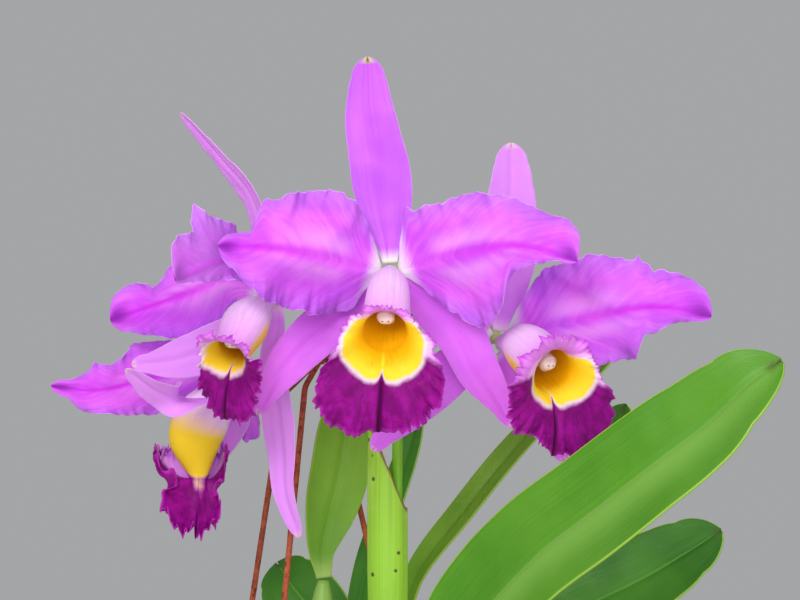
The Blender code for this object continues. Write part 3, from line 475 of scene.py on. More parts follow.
def leaf_rows(leaf, steps, across, seed, notch=0.0):
    """Fine rows of points over a leaf, with a channel along its midrib."""
    rows = []
    for i in range(steps + 1):
        share = i / steps
        face = Vector(leaf["face"][0]).lerp(Vector(leaf["face"][1]), share)
        place, along, side, out = frame_at(leaf["spine"], share, face, 0.07)
        hump = math.sin(math.pi * share)
        row = []
        for j in range(across + 1):
            v = 2 * j / across - 1
            wide = width_at(leaf["right"] if v > 0 else leaf["left"], share) * leaf["width"]
            wide *= 1 + 0.003 * ripple(share, seed + (1 if v > 0 else 4), 7.0, 2)
            lift = leaf["cup"] * wide * v * v
            lift -= 0.9 * bell(v * wide, 1.6) * min(1.0, 5 * hump)
            lift += 0.35 * v * v * ripple(share, seed + (2 if v > 0 else 6), 5.0, 2) * hump
            back = notch * bell(v, 0.22) * rise(share, 0.93, 1.0)
            row.append(place + side * (v * wide) + out * lift - along * back)
        rows.append(row)
    return rows


def hand_of(values, v):
    """The right (v below 0) or left half of a pair."""
    return values[1 if v > 0 else 0]


def lip_rows(lip, steps, around, seed):
    """Fine rows over a lip: a tube open along its top, flaring into a frilled and fringed mouth."""
    mouth = Vector(lip["mouth"]).normalized()
    bend = math.radians(lip["flare"])
    knots = [Vector(p) for p in lip["tube"]]
    length = sum((b - a).length for a, b in zip(knots, knots[1:]))
    curl = lip.get("curl", 1.0)
    rows = []
    zones = []
    tubing = steps // 3
    for i in range(steps + 1):
        if i < tubing:
            tube, flare = i / tubing, 0.0
        else:
            tube, flare = 1.0, (i - tubing) / (steps - tubing)
        place = at_length(lip["tube"], tube)
        along = (at_length(lip["tube"], tube + 0.03) - at_length(lip["tube"], tube - 0.03)).normalized()
        along = along.lerp(mouth, tube**3).normalized()
        down = Vector(lip["down"])
        down = (down - along * down.dot(along)).normalized()
        side = down.cross(along)
        inner = smooth(lip["radii"], tube)
        row = []
        zone = []
        for j in range(around + 1):
            v = 2 * j / around - 1
            off = abs(v)
            angle = v * math.radians(197.0 - lip.get("open", 14.0) * flare**3)
            mid = hand_of(lip["mid"], v)
            wing = rise(off, mid - 0.02, mid + 0.08)
            rim = smooth(hand_of(lip["rim"], v), off) * (1 + lip.get("lean", 0.0) * math.sin(angle))
            reach = smooth(lip["reach"], off)
            edge = flare**5
            ragged = (0.022 + 0.04 * wing) * ripple(angle, seed, 6.0, 3)
            ragged += 0.024 * ripple(angle, seed + 3, 25.0, 3)
            ragged += 0.02 * ripple(angle, seed + 9, 79.0, 3) * (1 + 0.9 * ripple(angle, seed + 5, 5.0, 2))
            split = lip.get("split", 0.16) * bell(off - mid - 0.04, 0.03)
            cleft = lip.get("cleft", 0.0) * bell(angle, 0.07)
            rim *= 1 + edge * (ragged - split - cleft)
            roll = lip.get("roll", 0.0) * wing
            spread = (1 - math.cos(bend * flare)) / (1 - math.cos(bend))
            spread += roll * (math.sin(math.pi / 2 * flare) - spread)
            forth = math.sin(bend * flare)
            forth += roll * (1 - math.cos(math.pi / 2 * flare) - forth)
            radius = inner + (rim - inner) * spread
            ahead = reach * forth
            folds = 0.9 * flare**3 * ripple(angle, seed + 4, 4.3, 3)
            ahead += curl * (folds + 1.7 * flare**5 * ripple(angle, seed + 1, 12.0, 3))
            ahead += curl * 1.2 * flare**9 * ripple(angle, seed + 2, 41.0, 2)
            radius += 0.5 * curl * flare**4 * ripple(angle + flare, seed + 6, 15.0, 3)
            radius += (0.3 * rise(v, 0.78, 0.92) - 0.2 * rise(-v, 0.78, 0.92)) * (1 - 0.5 * flare)
            ahead -= 1.5 * bell(angle * max(radius, 4.0), 1.0) * rise(flare, 0.1, 0.4) * (1 - 0.5 * flare)
            ahead += 0.5 * bell(abs(angle * max(radius, 4.0)) - 3.0, 1.6) * rise(flare, 0.1, 0.4)
            ray = down * math.cos(angle) + side * math.sin(angle)
            row.append(place + ray * radius + along * ahead)
            uneven = 0.35 * ripple(angle, seed + 7, 6.0, 3) - 3.2 * bell(angle, 0.075)
            gold = smooth(hand_of(lip["gold"], v), off) + lip.get("uneven", 1.0) * uneven
            past = radius - inner if i >= tubing else (tube - 1.0) * length
            near = 0.5 + (past - gold + inner) / 30.0
            zone.append((max(0.02, min(0.98, near)), 0.5 + off - lip.get("dark", mid)))
        rows.append(row)
        zones.append(zone)
    return rows, zones


def spathe_rows(steps, around):
    """Rows of points up the flattened sheath of the stalk, cut at a slant, with a fold down each side."""
    rows = []
    low, high = SPATHE_CUT
    for i in range(steps + 1):
        row = []
        for j in range(around + 1):
            angle = TAU * j / around
            top = (low + high) / 2 - (high - low) / 2 * math.cos(angle) + 0.5 * ripple(angle, 2.0, 5.0, 3)
            height = SPATHE[0][2] + (top - SPATHE[0][2]) * i / steps
            share = (height - SPATHE[0][2]) / (SPATHE[-1][2] - SPATHE[0][2])
            place = at_length(SPATHE, share)
            wide = between(SPATHE_SIDE, share)
            deep = between(SPATHE_DEEP, share)
            fold = 0.5 * bell(math.sin(angle), 0.22) * (1 if abs(math.cos(angle)) > 0.9 else 0)
            fold += 0.12 * ripple(angle, 1.0, 6.0, 2)
            row.append(Vector((
                place.x + (wide + fold) * math.cos(angle),
                place.y + deep * math.sin(angle) * (1 + 0.02 * ripple(height * 0.05, 3.0, 1.0)),
                height,
            )))
        rows.append(row)
    return rows


def make_mesh(name, verts, faces, corner_uv, index, mats, slot=None, zone=None):
    """A smooth mesh object in metres from millimetre points, riding on the part's only body."""
    mesh = bpy.data.meshes.new(name)
    mesh.from_pydata([tuple(c * MM for c in p) for p in verts], [], faces)
    layer = mesh.uv_layers.new(name="Across")
    flat = [c for face in corner_uv for uv in face for c in uv]
    layer.uv.foreach_set("vector", flat)
    if zone:
        layer = mesh.uv_layers.new(name="Zone")
        layer.uv.foreach_set("vector", [c for face in zone for uv in face for c in uv])
    mesh.polygons.foreach_set("use_smooth", [True] * len(faces))
    for mat in mats:
        mesh.materials.append(mat)
    if index:
        mesh.polygons.foreach_set("material_index", index)
    mesh.update()
    obj = bpy.data.objects.new(name, mesh)
    bpy.context.scene.collection.objects.link(obj)
    if slot:
        PIECES.append((obj, slot))
    return obj


def shell(name, rows, half, mats, slot, closed=False, zones=None):
    """A thin closed skin round rows of points. half(i, j) is half its thickness; mats its face and back."""
    n = len(rows) - 1
    m = len(rows[0]) - 1
    front = []
    back = []
    for i in range(n + 1):
        for j in range(m + (0 if closed else 1)):
            ahead = rows[min(n, i + 1)][j] - rows[max(0, i - 1)][j]
            if closed:
                beside = rows[i][(j + 1) % m] - rows[i][(j - 1) % m]
            else:
                beside = rows[i][min(m, j + 1)] - rows[i][max(0, j - 1)]
            normal = beside.cross(ahead)
            normal = normal.normalized() if normal.length > 1e-9 else Vector((0, -1, 0))
            front.append(rows[i][j] + normal * half(i, j))
            back.append(rows[i][j] - normal * half(i, j))
    wide = m if closed else m + 1
    size = len(front)
    faces = []
    corner_uv = []
    corner_zone = []
    index = []

    def add(cells, behind, flip):
        spots = [i * wide + (j % wide if closed else j) + (size if b else 0) for i, j, b in cells]
        uvs = [(j / m, i / n) for i, j, b in cells]
        marks = [zones[i][j] for i, j, b in cells] if zones else None
        if flip:
            spots, uvs = spots[::-1], uvs[::-1]
            marks = marks[::-1] if marks else None
        faces.append(spots)
        corner_uv.append(uvs)
        if marks:
            corner_zone.append(marks)
        index.append(1 if behind else 0)

    for i in range(n):
        for j in range(m):
            cell = ((i, j), (i, j + 1), (i + 1, j + 1), (i + 1, j))
            add([(a, b, 0) for a, b in cell], 0, False)
            add([(a, b, 1) for a, b in cell], 1, True)
    for j in range(m):
        add(((0, j, 0), (0, j, 1), (0, j + 1, 1), (0, j + 1, 0)), 0, False)
        add(((n, j, 0), (n, j, 1), (n, j + 1, 1), (n, j + 1, 0)), 0, True)
    if not closed:
        for i in range(n):
            add(((i, 0, 0), (i, 0, 1), (i + 1, 0, 1), (i + 1, 0, 0)), 1, True)
            add(((i, m, 0), (i, m, 1), (i + 1, m, 1), (i + 1, m, 0)), 1, False)
    return make_mesh(name, front + back, faces, corner_uv, index, mats, slot, corner_zone or None)


def tube(name, points, radius, steps, sides, mat, slot, smooth=True):
    """A rod along a line. radius(share, angle) gives its surface."""
    knots = [Vector(p) for p in points]
    verts = []
    rows = []
    out = Vector((0.3, -1, 0.2))
    for i in range(steps + 1):
        share = i / steps
        if smooth:
            place = at_length(knots, share)
            along = (at_length(knots, share + 0.01) - at_length(knots, share - 0.01)).normalized()
        else:
            place = knots[i]
            along = (knots[min(steps, i + 1)] - knots[max(0, i - 1)]).normalized()
        out = (out - along * out.dot(along)).normalized()
        side = along.cross(out)
        row = []
        for j in range(sides):
            angle = TAU * j / sides
            r = radius(share, angle)
            row.append(len(verts))
            verts.append(place + out * (math.cos(angle) * r) + side * (math.sin(angle) * r))
        rows.append(row)
    faces = []
    uvs = []
    for i in range(steps):
        for j in range(sides):
            k = (j + 1) % sides
            faces.append((rows[i][j], rows[i][k], rows[i + 1][k], rows[i + 1][j]))
            low, high = i / steps, (i + 1) / steps
            uvs.append(((j / sides, low), ((j + 1) / sides, low), ((j + 1) / sides, high), (j / sides, high)))
    for row, flip, share in ((rows[0], True, 0.0), (rows[-1], False, 1.0)):
        middle = Vector((0, 0, 0))
        for k in row:
            middle += verts[k]
        verts.append(middle / sides)
        for j in range(sides):
            k = (j + 1) % sides
            face_ = (row[j], row[k], len(verts) - 1)
            uv = ((j / sides, share), ((j + 1) / sides, share), ((j + 0.5) / sides, share))
            faces.append(face_[::-1] if flip else face_)
            uvs.append(uv[::-1] if flip else uv)
    return make_mesh(name, verts, faces, uvs, None, [mat], slot)


class Paint:
    """A material of one Principled shader whose colour, roughness and bump come from nodes."""

    def __init__(self, name, rough=0.5, specular=0.5, coat=0.0, soft=0.0, metallic=0.0):
        self.mat = bpy.data.materials.new(name)
        self.mat.use_nodes = True
        self.tree = self.mat.node_tree
        self.shader = self.tree.nodes["Principled BSDF"]
        self.shader.inputs["Roughness"].default_value = rough
        self.shader.inputs["Specular IOR Level"].default_value = specular
        self.shader.inputs["Metallic"].default_value = metallic
        if coat:
            self.shader.inputs["Coat Weight"].default_value = coat
            self.shader.inputs["Coat Roughness"].default_value = 0.25
        if soft:
            self.shader.inputs["Subsurface Weight"].default_value = soft
            self.shader.inputs["Subsurface Radius"].default_value = (1.0, 0.5, 0.8)
            self.shader.inputs["Subsurface Scale"].default_value = 0.002

    def new(self, kind):
        return self.tree.nodes.new("ShaderNode" + kind)

    def put(self, value, socket):
        if isinstance(value, bpy.types.NodeSocket):
            self.tree.links.new(value, socket)
        else:
            socket.default_value = value

    def uv(self, layer="Across"):
        node = self.new("UVMap")
        node.uv_map = layer
        return self.split(node.outputs[0])[:2]

    def place(self):
        """The object's own coordinates, in metres."""
        return self.new("TexCoord").outputs["Object"]

    def spots(self):
        """Across and along the piece, each from 0 to 1, and the object's own coordinates."""
        x, y = self.uv()
        return x, y, self.place()

    def split(self, vector):
        node = self.new("SeparateXYZ")
        self.put(vector, node.inputs[0])
        return node.outputs

    def joined(self, x, y, z=0.0):
        node = self.new("CombineXYZ")
        for value, socket in zip((x, y, z), node.inputs):
            self.put(value, socket)
        return node.outputs[0]

    def math(self, kind, a, b=0.0):
        node = self.new("Math")
        node.operation = kind
        for value, socket in zip((a, b), node.inputs):
            self.put(value, socket)
        return node.outputs[0]

    def times(self, a, b):
        return self.math("MULTIPLY", a, b)

    def plus(self, a, b):
        return self.math("ADD", a, b)

    def step(self, x, low, high, to_low=0.0, to_high=1.0):
        """Smooth step of x from low to high."""
        node = self.new("MapRange")
        node.interpolation_type = "SMOOTHSTEP"
        for value, socket in zip((x, low, high, to_low, to_high), node.inputs):
            self.put(value, socket)
        return node.outputs[0]

    def noise(self, vector, scale, detail=3.0, rough=0.5, warp=0.0):
        node = self.new("TexNoise")
        self.put(vector, node.inputs["Vector"])
        node.inputs["Scale"].default_value = scale
        node.inputs["Detail"].default_value = detail
        node.inputs["Roughness"].default_value = rough
        node.inputs["Distortion"].default_value = warp
        return node.outputs["Fac"]

    def cells(self, vector, scale):
        node = self.new("TexVoronoi")
        self.put(vector, node.inputs["Vector"])
        node.inputs["Scale"].default_value = scale
        return node.outputs["Distance"]

    def mix(self, share, a, b):
        node = self.new("Mix")
        node.data_type = "RGBA"
        self.put(share, node.inputs[0])
        self.put(rgb(a) if isinstance(a, str) else a, node.inputs[6])
        self.put(rgb(b) if isinstance(b, str) else b, node.inputs[7])
        return node.outputs[2]

    def off(self, x):
        """Distance of x from the midrib at 0.5."""
        return self.math("ABSOLUTE", self.math("SUBTRACT", x, 0.5))

    def lines(self, x, y, across, along, detail, rough, warp=0.0):
        """Fine lines along a piece."""
        return self.noise(self.joined(self.times(x, across), self.times(y, along)), 1.0, detail, rough, warp)

    def specks(self, here, scale, low, high, patch, patch_low, patch_high):
        """Small specks that keep to patches."""
        return self.times(self.step(self.cells(here, scale), low, high),
                          self.step(self.noise(here, patch), patch_low, patch_high))

    def begin(self, x, low, high, first, second):
        """Starts the running colour: first, going over to second as x goes from low to high."""
        self.colour = self.mix(self.step(x, low, high), first, second)

    def lay(self, mask, colour, share=None):
        """Lays a colour over the running one where the mask is, in full or by a share."""
        self.colour = self.mix(self.times(mask, share) if share else mask, self.colour, colour)

    def over(self, x, low, high, colour, share=1.0):
        """Lays a share of a colour over the running one as x goes from low to high."""
        self.lay(self.step(x, low, high, 0.0, share), colour)

    def finish(self, rough=None, bump=None, depth=0.2):
        """The material, with the running colour, a roughness and a bump of that depth in millimetres."""
        self.put(self.colour, self.shader.inputs["Base Color"])
        if rough is not None:
            self.put(rough, self.shader.inputs["Roughness"])
        if bump is not None:
            node = self.new("Bump")
            node.inputs["Strength"].default_value = 1.0
            node.inputs["Distance"].default_value = depth * MM
            self.put(bump, node.inputs["Height"])
            self.put(node.outputs[0], self.shader.inputs["Normal"])
        return self.mat


def rgb(text):
    """Linear colour from a hex colour."""
    parts = [int(text[i:i + 2], 16) / 255 for i in (1, 3, 5)]
    return tuple(c / 12.92 if c <= 0.04045 else ((c + 0.055) / 1.055) ** 2.4 for c in parts) + (1.0,)


def tepal_paint(name, petal, back=False, pale=0.0, low=0.0, light="#F8B2FE"):
    """Lilac tissue: pale at the base, veined, rosier along the midrib and lavender at the edge, that lavender
    partly a painted bluish sheen. Petals get a painted highlight beside the midrib; low lays painted shade on
    the lower half, and pale lays painted light over the whole piece.
    """
    p = Paint(name, 0.55, 0.2, soft=0.25)
    x, y, here = p.spots()
    off = p.off(x)
    blotch = p.noise(here, 42.0, 2.0)
    broad = p.noise(here, 21.0, 2.0, 0.5, 0.6)
    p.begin(blotch, 0.38, 0.62, "#D055EA" if petal else "#C058E4", "#E76CF6" if petal else "#D068EC")
    p.over(broad, 0.5, 0.66, "#B25AE2", 0.5)
    p.over(broad, 0.48, 0.34, "#F68CFA", 0.45 if petal else 0.2)
    # Lavender toward the edge: partly the tissue's own colour, partly a painted bluish sheen of reflected
    # light.
    p.over(off, 0.24, 0.5, "#B46CE6", 0.7 if petal else 0.35)
    back_along = p.math("SUBTRACT", p.times(y, 24.0 if petal else 0.8), p.times(off, 16.0 if petal else 0.0))
    fan = p.joined(back_along, p.times(off, 3.0 if petal else 13.0), p.times(x, 2.0))
    veins = p.noise(fan, 1.0, 4.0 if petal else 2.0, 0.6)
    p.over(veins, 0.5, 0.72, "#AE3EDA", 0.42 if petal else 0.3)
    p.over(veins, 0.5, 0.3, "#F494FB", 0.25 if petal else 0.15)
    wander = p.plus(off, p.times(p.math("SUBTRACT", p.noise(here, 90.0), 0.5), 0.02))
    rib = p.times(p.step(wander, 0.06 if petal else 0.05, 0.0), p.step(y, 0.2, 0.75, 0.12, 1.0))
    p.lay(rib, "#CE12DC" if petal else "#BC48DC", 0.8 if petal else 0.35)
    if petal:
        # Painted highlight: a pale pink streak beside the midrib, from near the base to past the middle.
        beside = p.times(p.step(off, 0.02, 0.1), p.step(off, 0.26, 0.1))
        painted_highlight = p.times(beside, p.times(p.step(y, 0.16, 0.3), p.step(y, 0.72, 0.4)))
        p.lay(painted_highlight, "#F8B4FC", 0.45)
        flush = p.times(p.step(off, 0.4, 0.04), p.step(y, 0.6, 0.92))
        p.lay(flush, "#D02CEC", 0.55)
        tip = p.times(p.step(off, 0.36, 0.02), p.step(y, 0.84, 0.965))
        p.lay(tip, "#8408A4", 0.9)
    # Painted shade: darker purple over the lower half of the petal, fading near base and tip.
    if low:
        lower = p.times(p.step(x, 0.47, 0.34), p.times(p.step(y, 0.12, 0.3), p.step(y, 0.95, 0.7)))
        p.lay(lower, "#9E30CC", low)
    uneven = p.plus(y, p.times(p.noise(fan, 2.0), 0.06))
    p.over(uneven, 0.15 if petal else 0.11, 0.05 if petal else 0.03, "#F3E6F6")
    p.over(y, 0.03, 0.0, "#E2E6C8")
    if not petal:
        p.lay(p.times(p.step(y, 0.962, 0.985), p.step(off, 0.5, 0.1)), "#C2CC7C")
        p.lay(p.times(p.step(y, 0.965, 0.985), p.step(off, 0.12, 0.02)), "#7A5A2A")
    p.lay(p.specks(here, 380.0, 0.06, 0.02, 60.0, 0.6, 0.68), "#A645C8")
    p.lay(p.step(off, 0.485, 0.5), "#F0C4FA", 0.5)
    if back:
        p.lay(0.2, "#DDA4F0")
    # Painted light: a lighter colour laid over the whole piece to brighten it.
    if pale:
        p.lay(pale, light)
    rough = p.step(p.noise(here, 300.0), 0.3, 0.7, 0.42, 0.6)
    return p.finish(rough, veins if petal else None, 0.22)


def lip_paint(name, back=False):
    """Golden throat with a soft white border, dark middle lobe and rosy side lobes; the back is pale."""
    p = Paint(name, 0.6, 0.12, soft=0.15)
    x, y, here = p.spots()
    near, part = p.uv("Zone")
    off = p.off(x)
    veins = p.lines(x, y, 46.0, 5.0, 4.0, 0.62, 1.2)
    cloud = p.noise(here, 170.0, 4.0, 0.6)
    grain = p.times(p.math("SUBTRACT", p.noise(here, 230.0, 4.0), 0.5), 0.06)
    p.begin(veins, 0.4, 0.66, "#7C0070", "#94038A")
    p.over(cloud, 0.48, 0.66, "#AE129E", 0.5)
    p.over(cloud, 0.5, 0.34, "#62005A", 0.5)
    p.over(near, 0.98, 0.6, "#6E0060", 0.3)
    p.over(y, 0.965, 1.0, "#C238BC", 0.6)
    # Painted shade: a thin dark line along the crease down the middle of the lobe.
    p.lay(p.times(p.step(off, 0.011, 0.0), p.step(y, 0.56, 0.7)), "#3C0030")
    middle = p.colour
    p.begin(near, 0.62, 0.72, "#F9B8F8", "#E685EE")
    p.over(y, 0.9, 1.0, "#D058E0")
    p.over(veins, 0.48, 0.7, "#CC74DE", 0.4)
    p.over(y, 0.38, 0.3, "#F8E2F4")
    wing = p.colour
    p.begin(p.plus(part, grain), 0.47, 0.52, middle, wing)
    near = p.plus(near, grain)
    p.over(near, 0.58, 0.51, "#F9DDF4", 0.85)
    border = p.colour
    p.begin(near, 0.26, 0.46, "#FABC0A", "#FFD62E")
    # Deeper amber low in the throat near the middle: partly its own colour, partly painted shade under the
    # column.
    under = p.times(p.step(near, 0.4, 0.2), p.step(off, 0.2, 0.05))
    p.lay(under, "#F0A400", 0.3)
    streak = p.times(p.step(veins, 0.5, 0.62), p.times(p.step(near, 0.4, 0.3), p.step(off, 0.16, 0.06)))
    p.lay(streak, "#C88000", 0.25)
    gold = p.colour
    p.begin(near, 0.535, 0.475, border, gold)
    if back:
        p.begin(y, 0.0, 0.05, "#F0E4EC", "#F3C6F4")
        p.over(y, 0.16, 0.36, "#F0A6F4")
        p.lay(p.step(veins, 0.45, 0.7), "#DB8AE8", 0.3)
        lower = p.times(p.step(part, 0.5, 0.37), p.step(y, 0.1, 0.2))
        p.lay(p.times(lower, p.step(near, 0.56, 0.5)), "#F8CC2E")
        p.lay(p.times(p.step(part, 0.53, 0.46), p.step(near, 0.5, 0.56)), middle)
        p.lay(p.times(p.step(part, 0.5, 0.56), p.step(y, 0.74, 1.0)), "#D070E2")
    height = p.plus(p.times(veins, 0.4), p.times(cloud, 0.9))
    return p.finish(p.step(p.noise(here, 400.0), 0.3, 0.7, 0.42, 0.62), height, 0.3)


# The default greens are partly the leaves' own dark green and partly darkened as painted shade.
def leaf_paint(name, back=False, light=0.0, low="#2F7212", high="#468A1C"):
    """Leathery leaf: fine lines along it, mottling, a paler midrib and a thin yellow-green edge; light adds a
    painted highlight band along the midrib.
    """
    p = Paint(name, 0.38, 0.3, coat=0.05 if not back else 0.0)
    x, y, here = p.spots()
    off = p.off(x)
    lines = p.lines(x, y, 120.0, 2.5, 3.0, 0.6)
    p.begin(p.noise(here, 26.0, 3.0), 0.35, 0.68, low, high)
    p.over(lines, 0.45, 0.7, "#6AA43A", 0.22)
    p.over(lines, 0.48, 0.3, "#2A6412", 0.2)
    p.over(off, 0.03, 0.0, "#7CB048", 0.2 if light else 0.5)
    # Painted highlight: a lighter band along one side of the midrib, fading toward that edge and weaker
    # toward the tip.
    if light:
        painted_highlight_band = p.times(p.step(x, 0.492, 0.508), p.step(x, 0.9, 0.56))
        p.lay(p.times(painted_highlight_band, p.step(y, 1.0, 0.75, 0.35, 0.62)), "#82B44E")
    p.over(y, 0.14, 0.0, "#A9C768", 0.7)
    p.lay(p.specks(here, 210.0, 0.1, 0.05, 35.0, 0.58, 0.66), "#8C8A4A", 0.6)
    p.over(off, 0.487, 0.496, "#9CC43E")
    end = p.times(p.step(y, 0.965, 0.99), p.step(off, 0.28, 0.0))
    p.lay(end, "#4C5A1E", 0.8)
    if back:
        p.lay(0.4, "#8FB650")
    rough = p.step(p.noise(here, 90.0, 3.0), 0.3, 0.7, 0.28, 0.46)
    height = p.plus(p.times(lines, 0.8), p.times(p.noise(here, 700.0, 2.0), 0.12))
    return p.finish(rough, height, 0.16)


def stalk_paint(name, low, high, dark, rough=0.42):
    """Fresh green stalk, changing from its foot to its top, with faint lines and speckles."""
    p = Paint(name, rough, 0.45)
    x, y, here = p.spots()
    lines = p.lines(x, y, 34.0, 3.0, 3.0, 0.55)
    p.begin(y, 0.05, 0.95, low, high)
    p.over(lines, 0.5, 0.72, dark, 0.4)
    p.over(p.noise(here, 60.0), 0.55, 0.7, high, 0.35)
    p.lay(p.specks(here, 330.0, 0.12, 0.05, 70.0, 0.56, 0.62), "#6B5A2C", 0.5)
    rough = p.step(p.noise(here, 200.0), 0.3, 0.7, rough - 0.08, rough + 0.1)
    return p.finish(rough, p.plus(lines, p.times(p.noise(here, 900.0), 0.15)), 0.15)


def spathe_paint(name, back=False):
    """Green sheath with close veins, small dark specks and a drying brown edge."""
    p = Paint(name, 0.42, 0.4, soft=0.1)
    x, y, here = p.spots()
    lines = p.lines(x, y, 70.0, 1.6, 3.0, 0.5)
    p.begin(y, 0.0, 0.9, "#82B82E", "#98CA34")
    p.over(lines, 0.48, 0.68, "#74A62C", 0.5)
    p.over(p.noise(here, 50.0), 0.52, 0.7, "#B4D768", 0.5)
    p.lay(p.specks(here, 130.0, 0.15, 0.08, 34.0, 0.45, 0.51), "#4E4A20")
    p.over(y, 0.972, 0.995, "#8A7038")
    if back:
        p.lay(0.3, "#C9DE90")
    return p.finish(p.step(lines, 0.3, 0.7, 0.36, 0.5), lines, 0.2)


def paper_paint(name):
    """Dry papery sheath: beige with close brown veins and torn, darker edges."""
    p = Paint(name, 0.8, 0.2)
    x, y, here = p.spots()
    lines = p.lines(x, y, 90.0, 2.0, 4.0, 0.65)
    p.begin(lines, 0.35, 0.65, "#B9A67E", "#DDD0AE")
    p.over(p.noise(here, 45.0, 4.0), 0.5, 0.68, "#8E7448", 0.6)
    p.over(y, 0.9, 1.0, "#6E5430", 0.7)
    p.over(y, 0.16, 0.0, "#5C4628", 0.7)
    return p.finish(p.step(lines, 0.3, 0.7, 0.7, 0.9), lines, 0.35)


def scale_paint(name):
    """Creeping stem: brown overlapping scales over dull green."""
    p = Paint(name, 0.75, 0.3)
    x, y, here = p.spots()
    lines = p.lines(x, y, 30.0, 12.0, 4.0, 0.6)
    p.begin(p.noise(here, 70.0, 4.0), 0.42, 0.6, "#6D7434", "#7A5A36")
    p.over(lines, 0.5, 0.7, "#B49A6C", 0.7)
    p.over(p.noise(here, 160.0, 3.0), 0.55, 0.7, "#3C2A18", 0.7)
    return p.finish(p.step(lines, 0.3, 0.7, 0.62, 0.88), p.plus(lines, p.noise(here, 300.0, 3.0)), 0.4)


def root_paint(name):
    """Spongy grey-white root with a fresh green growing end."""
    p = Paint(name, 0.8, 0.25)
    _, y, here = p.spots()
    patch = p.noise(here, 120.0, 4.0)
    p.begin(patch, 0.4, 0.62, "#B9B7A0", "#DEDDD0")
    p.over(p.noise(here, 40.0), 0.52, 0.66, "#8F9A6A", 0.6)
    p.over(p.noise(here, 260.0, 2.0), 0.6, 0.7, "#6B5A40", 0.7)
    p.over(y, 0.9, 0.955, "#7FA84A")
    return p.finish(p.step(patch, 0.3, 0.7, 0.7, 0.9), p.plus(patch, p.noise(here, 500.0, 3.0)), 0.3)


def bark_paint(name):
    """Fir bark: each chip its own brown, streaked along its length, with small dark patches and grey dust."""
    p = Paint(name, 0.88, 0.25)
    x, y, here = p.spots()
    own = p.math("FLOOR", x)
    pick = p.math("FRACT", p.times(p.math("SINE", p.times(own, 12.9898)), 437.58))
    grain = p.noise(p.joined(p.times(x, 30.0), p.times(y, 5.0), pick), 1.0, 4.0, 0.65)
    p.begin(pick, 0.0, 1.0, "#3A2317", "#7A4A2C")
    p.lay(p.step(pick, 0.72, 0.9), "#9A6A44", 0.7)
    p.over(grain, 0.42, 0.66, "#A87E58", 0.6)
    p.over(p.noise(here, 220.0, 4.0), 0.55, 0.7, "#1E120C", 0.7)
    p.over(p.noise(here, 50.0, 3.0), 0.6, 0.72, "#8D8574", 0.4)
    height = p.plus(grain, p.times(p.noise(here, 400.0, 4.0), 0.8))
    return p.finish(p.step(grain, 0.3, 0.7, 0.78, 0.96), height, 0.9)


def clay_paint(name):
    """Fired clay: warm blotches, turning marks, pale mineral bloom, dark patches that grow more common
    towards the bottom, and green algae.
    """
    p = Paint(name, 0.86, 0.25)
    here = p.place()
    x, y, z = p.split(here)
    cloud = p.noise(here, 17.0, 4.0, 0.6)
    fine = p.noise(here, 420.0, 4.0, 0.6)
    p.begin(cloud, 0.35, 0.65, "#A4522F", "#BF6B43")
    p.over(fine, 0.5, 0.7, "#CC8460", 0.4)
    rings = p.noise(p.joined(p.times(x, 3.0), p.times(y, 3.0), p.times(z, 300.0)), 1.0, 3.0)
    p.over(rings, 0.5, 0.7, "#8C4426", 0.3)
    bloom = p.plus(p.noise(here, 34.0, 5.0, 0.68), p.times(p.step(z, 0.07, 0.112), 0.07))
    p.over(bloom, 0.55, 0.7, "#E6D9C8", 0.75)
    # Dark patches, more of them towards the bottom.
    darker_low_patches = p.plus(p.noise(here, 24.0, 3.0), p.step(z, 0.045, 0.0, 0.0, 0.16))
    p.over(darker_low_patches, 0.58, 0.72, "#6B3520", 0.5)
    algae = p.times(p.step(p.noise(here, 48.0, 4.0, 0.7), 0.56, 0.68), p.step(z, 0.09, 0.02))
    p.lay(algae, "#6C7440", 0.45)
    rough = p.step(bloom, 0.4, 0.7, 0.8, 0.97)
    height = p.plus(p.plus(rings, p.times(fine, 0.8)), p.times(p.step(bloom, 0.56, 0.7), 0.4))
    return p.finish(rough, height, 0.35)


def rust_paint(name):
    """Rusted iron wire: orange and brown patches with pitting and darker spots."""
    p = Paint(name, 0.72, 0.4, metallic=0.15)
    here = p.place()
    patch = p.noise(here, 130.0, 4.0, 0.6)
    p.begin(patch, 0.35, 0.65, "#8A3A26", "#B5583A")
    p.over(p.noise(here, 420.0, 4.0), 0.52, 0.68, "#5C2418", 0.75)
    p.over(p.noise(here, 800.0, 3.0), 0.6, 0.7, "#CE7A50", 0.6)
    rough = p.step(patch, 0.3, 0.7, 0.6, 0.85)
    return p.finish(rough, p.plus(patch, p.noise(here, 1100.0, 3.0)), 0.25)


def cap_paint(name):
    """Column tip: cream flushed with pink, with two small dark pits on its face."""
    p = Paint(name, 0.35, 0.45, soft=0.2)
    x, y, here = p.spots()
    p.begin(p.noise(here, 320.0), 0.35, 0.65, "#FBE6EA", "#FEF4F4")
    p.over(y, 0.6, 1.0, "#F2B8DC", 0.5)
    across = p.off(x)
    dx = p.math("SUBTRACT", across, 0.16)
    dy = p.times(p.math("SUBTRACT", y, 0.56), 0.8)
    away = p.math("SQRT", p.plus(p.times(dx, dx), p.times(dy, dy)))
    p.over(away, 0.075, 0.05, "#C0607A", 0.4)
    p.over(away, 0.048, 0.03, "#5A1020")
    return p.finish(p.step(p.noise(here, 500.0), 0.3, 0.7, 0.28, 0.42), p.noise(here, 800.0), 0.08)


def part(obj, node):
    """Hides the imported node of that name; obj, the piece built in its place, is not used."""
    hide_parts(node)


PIECES = []
random.seed(11)

PETAL = (tepal_paint("petal_face", True), tepal_paint("petal_back", True, True))
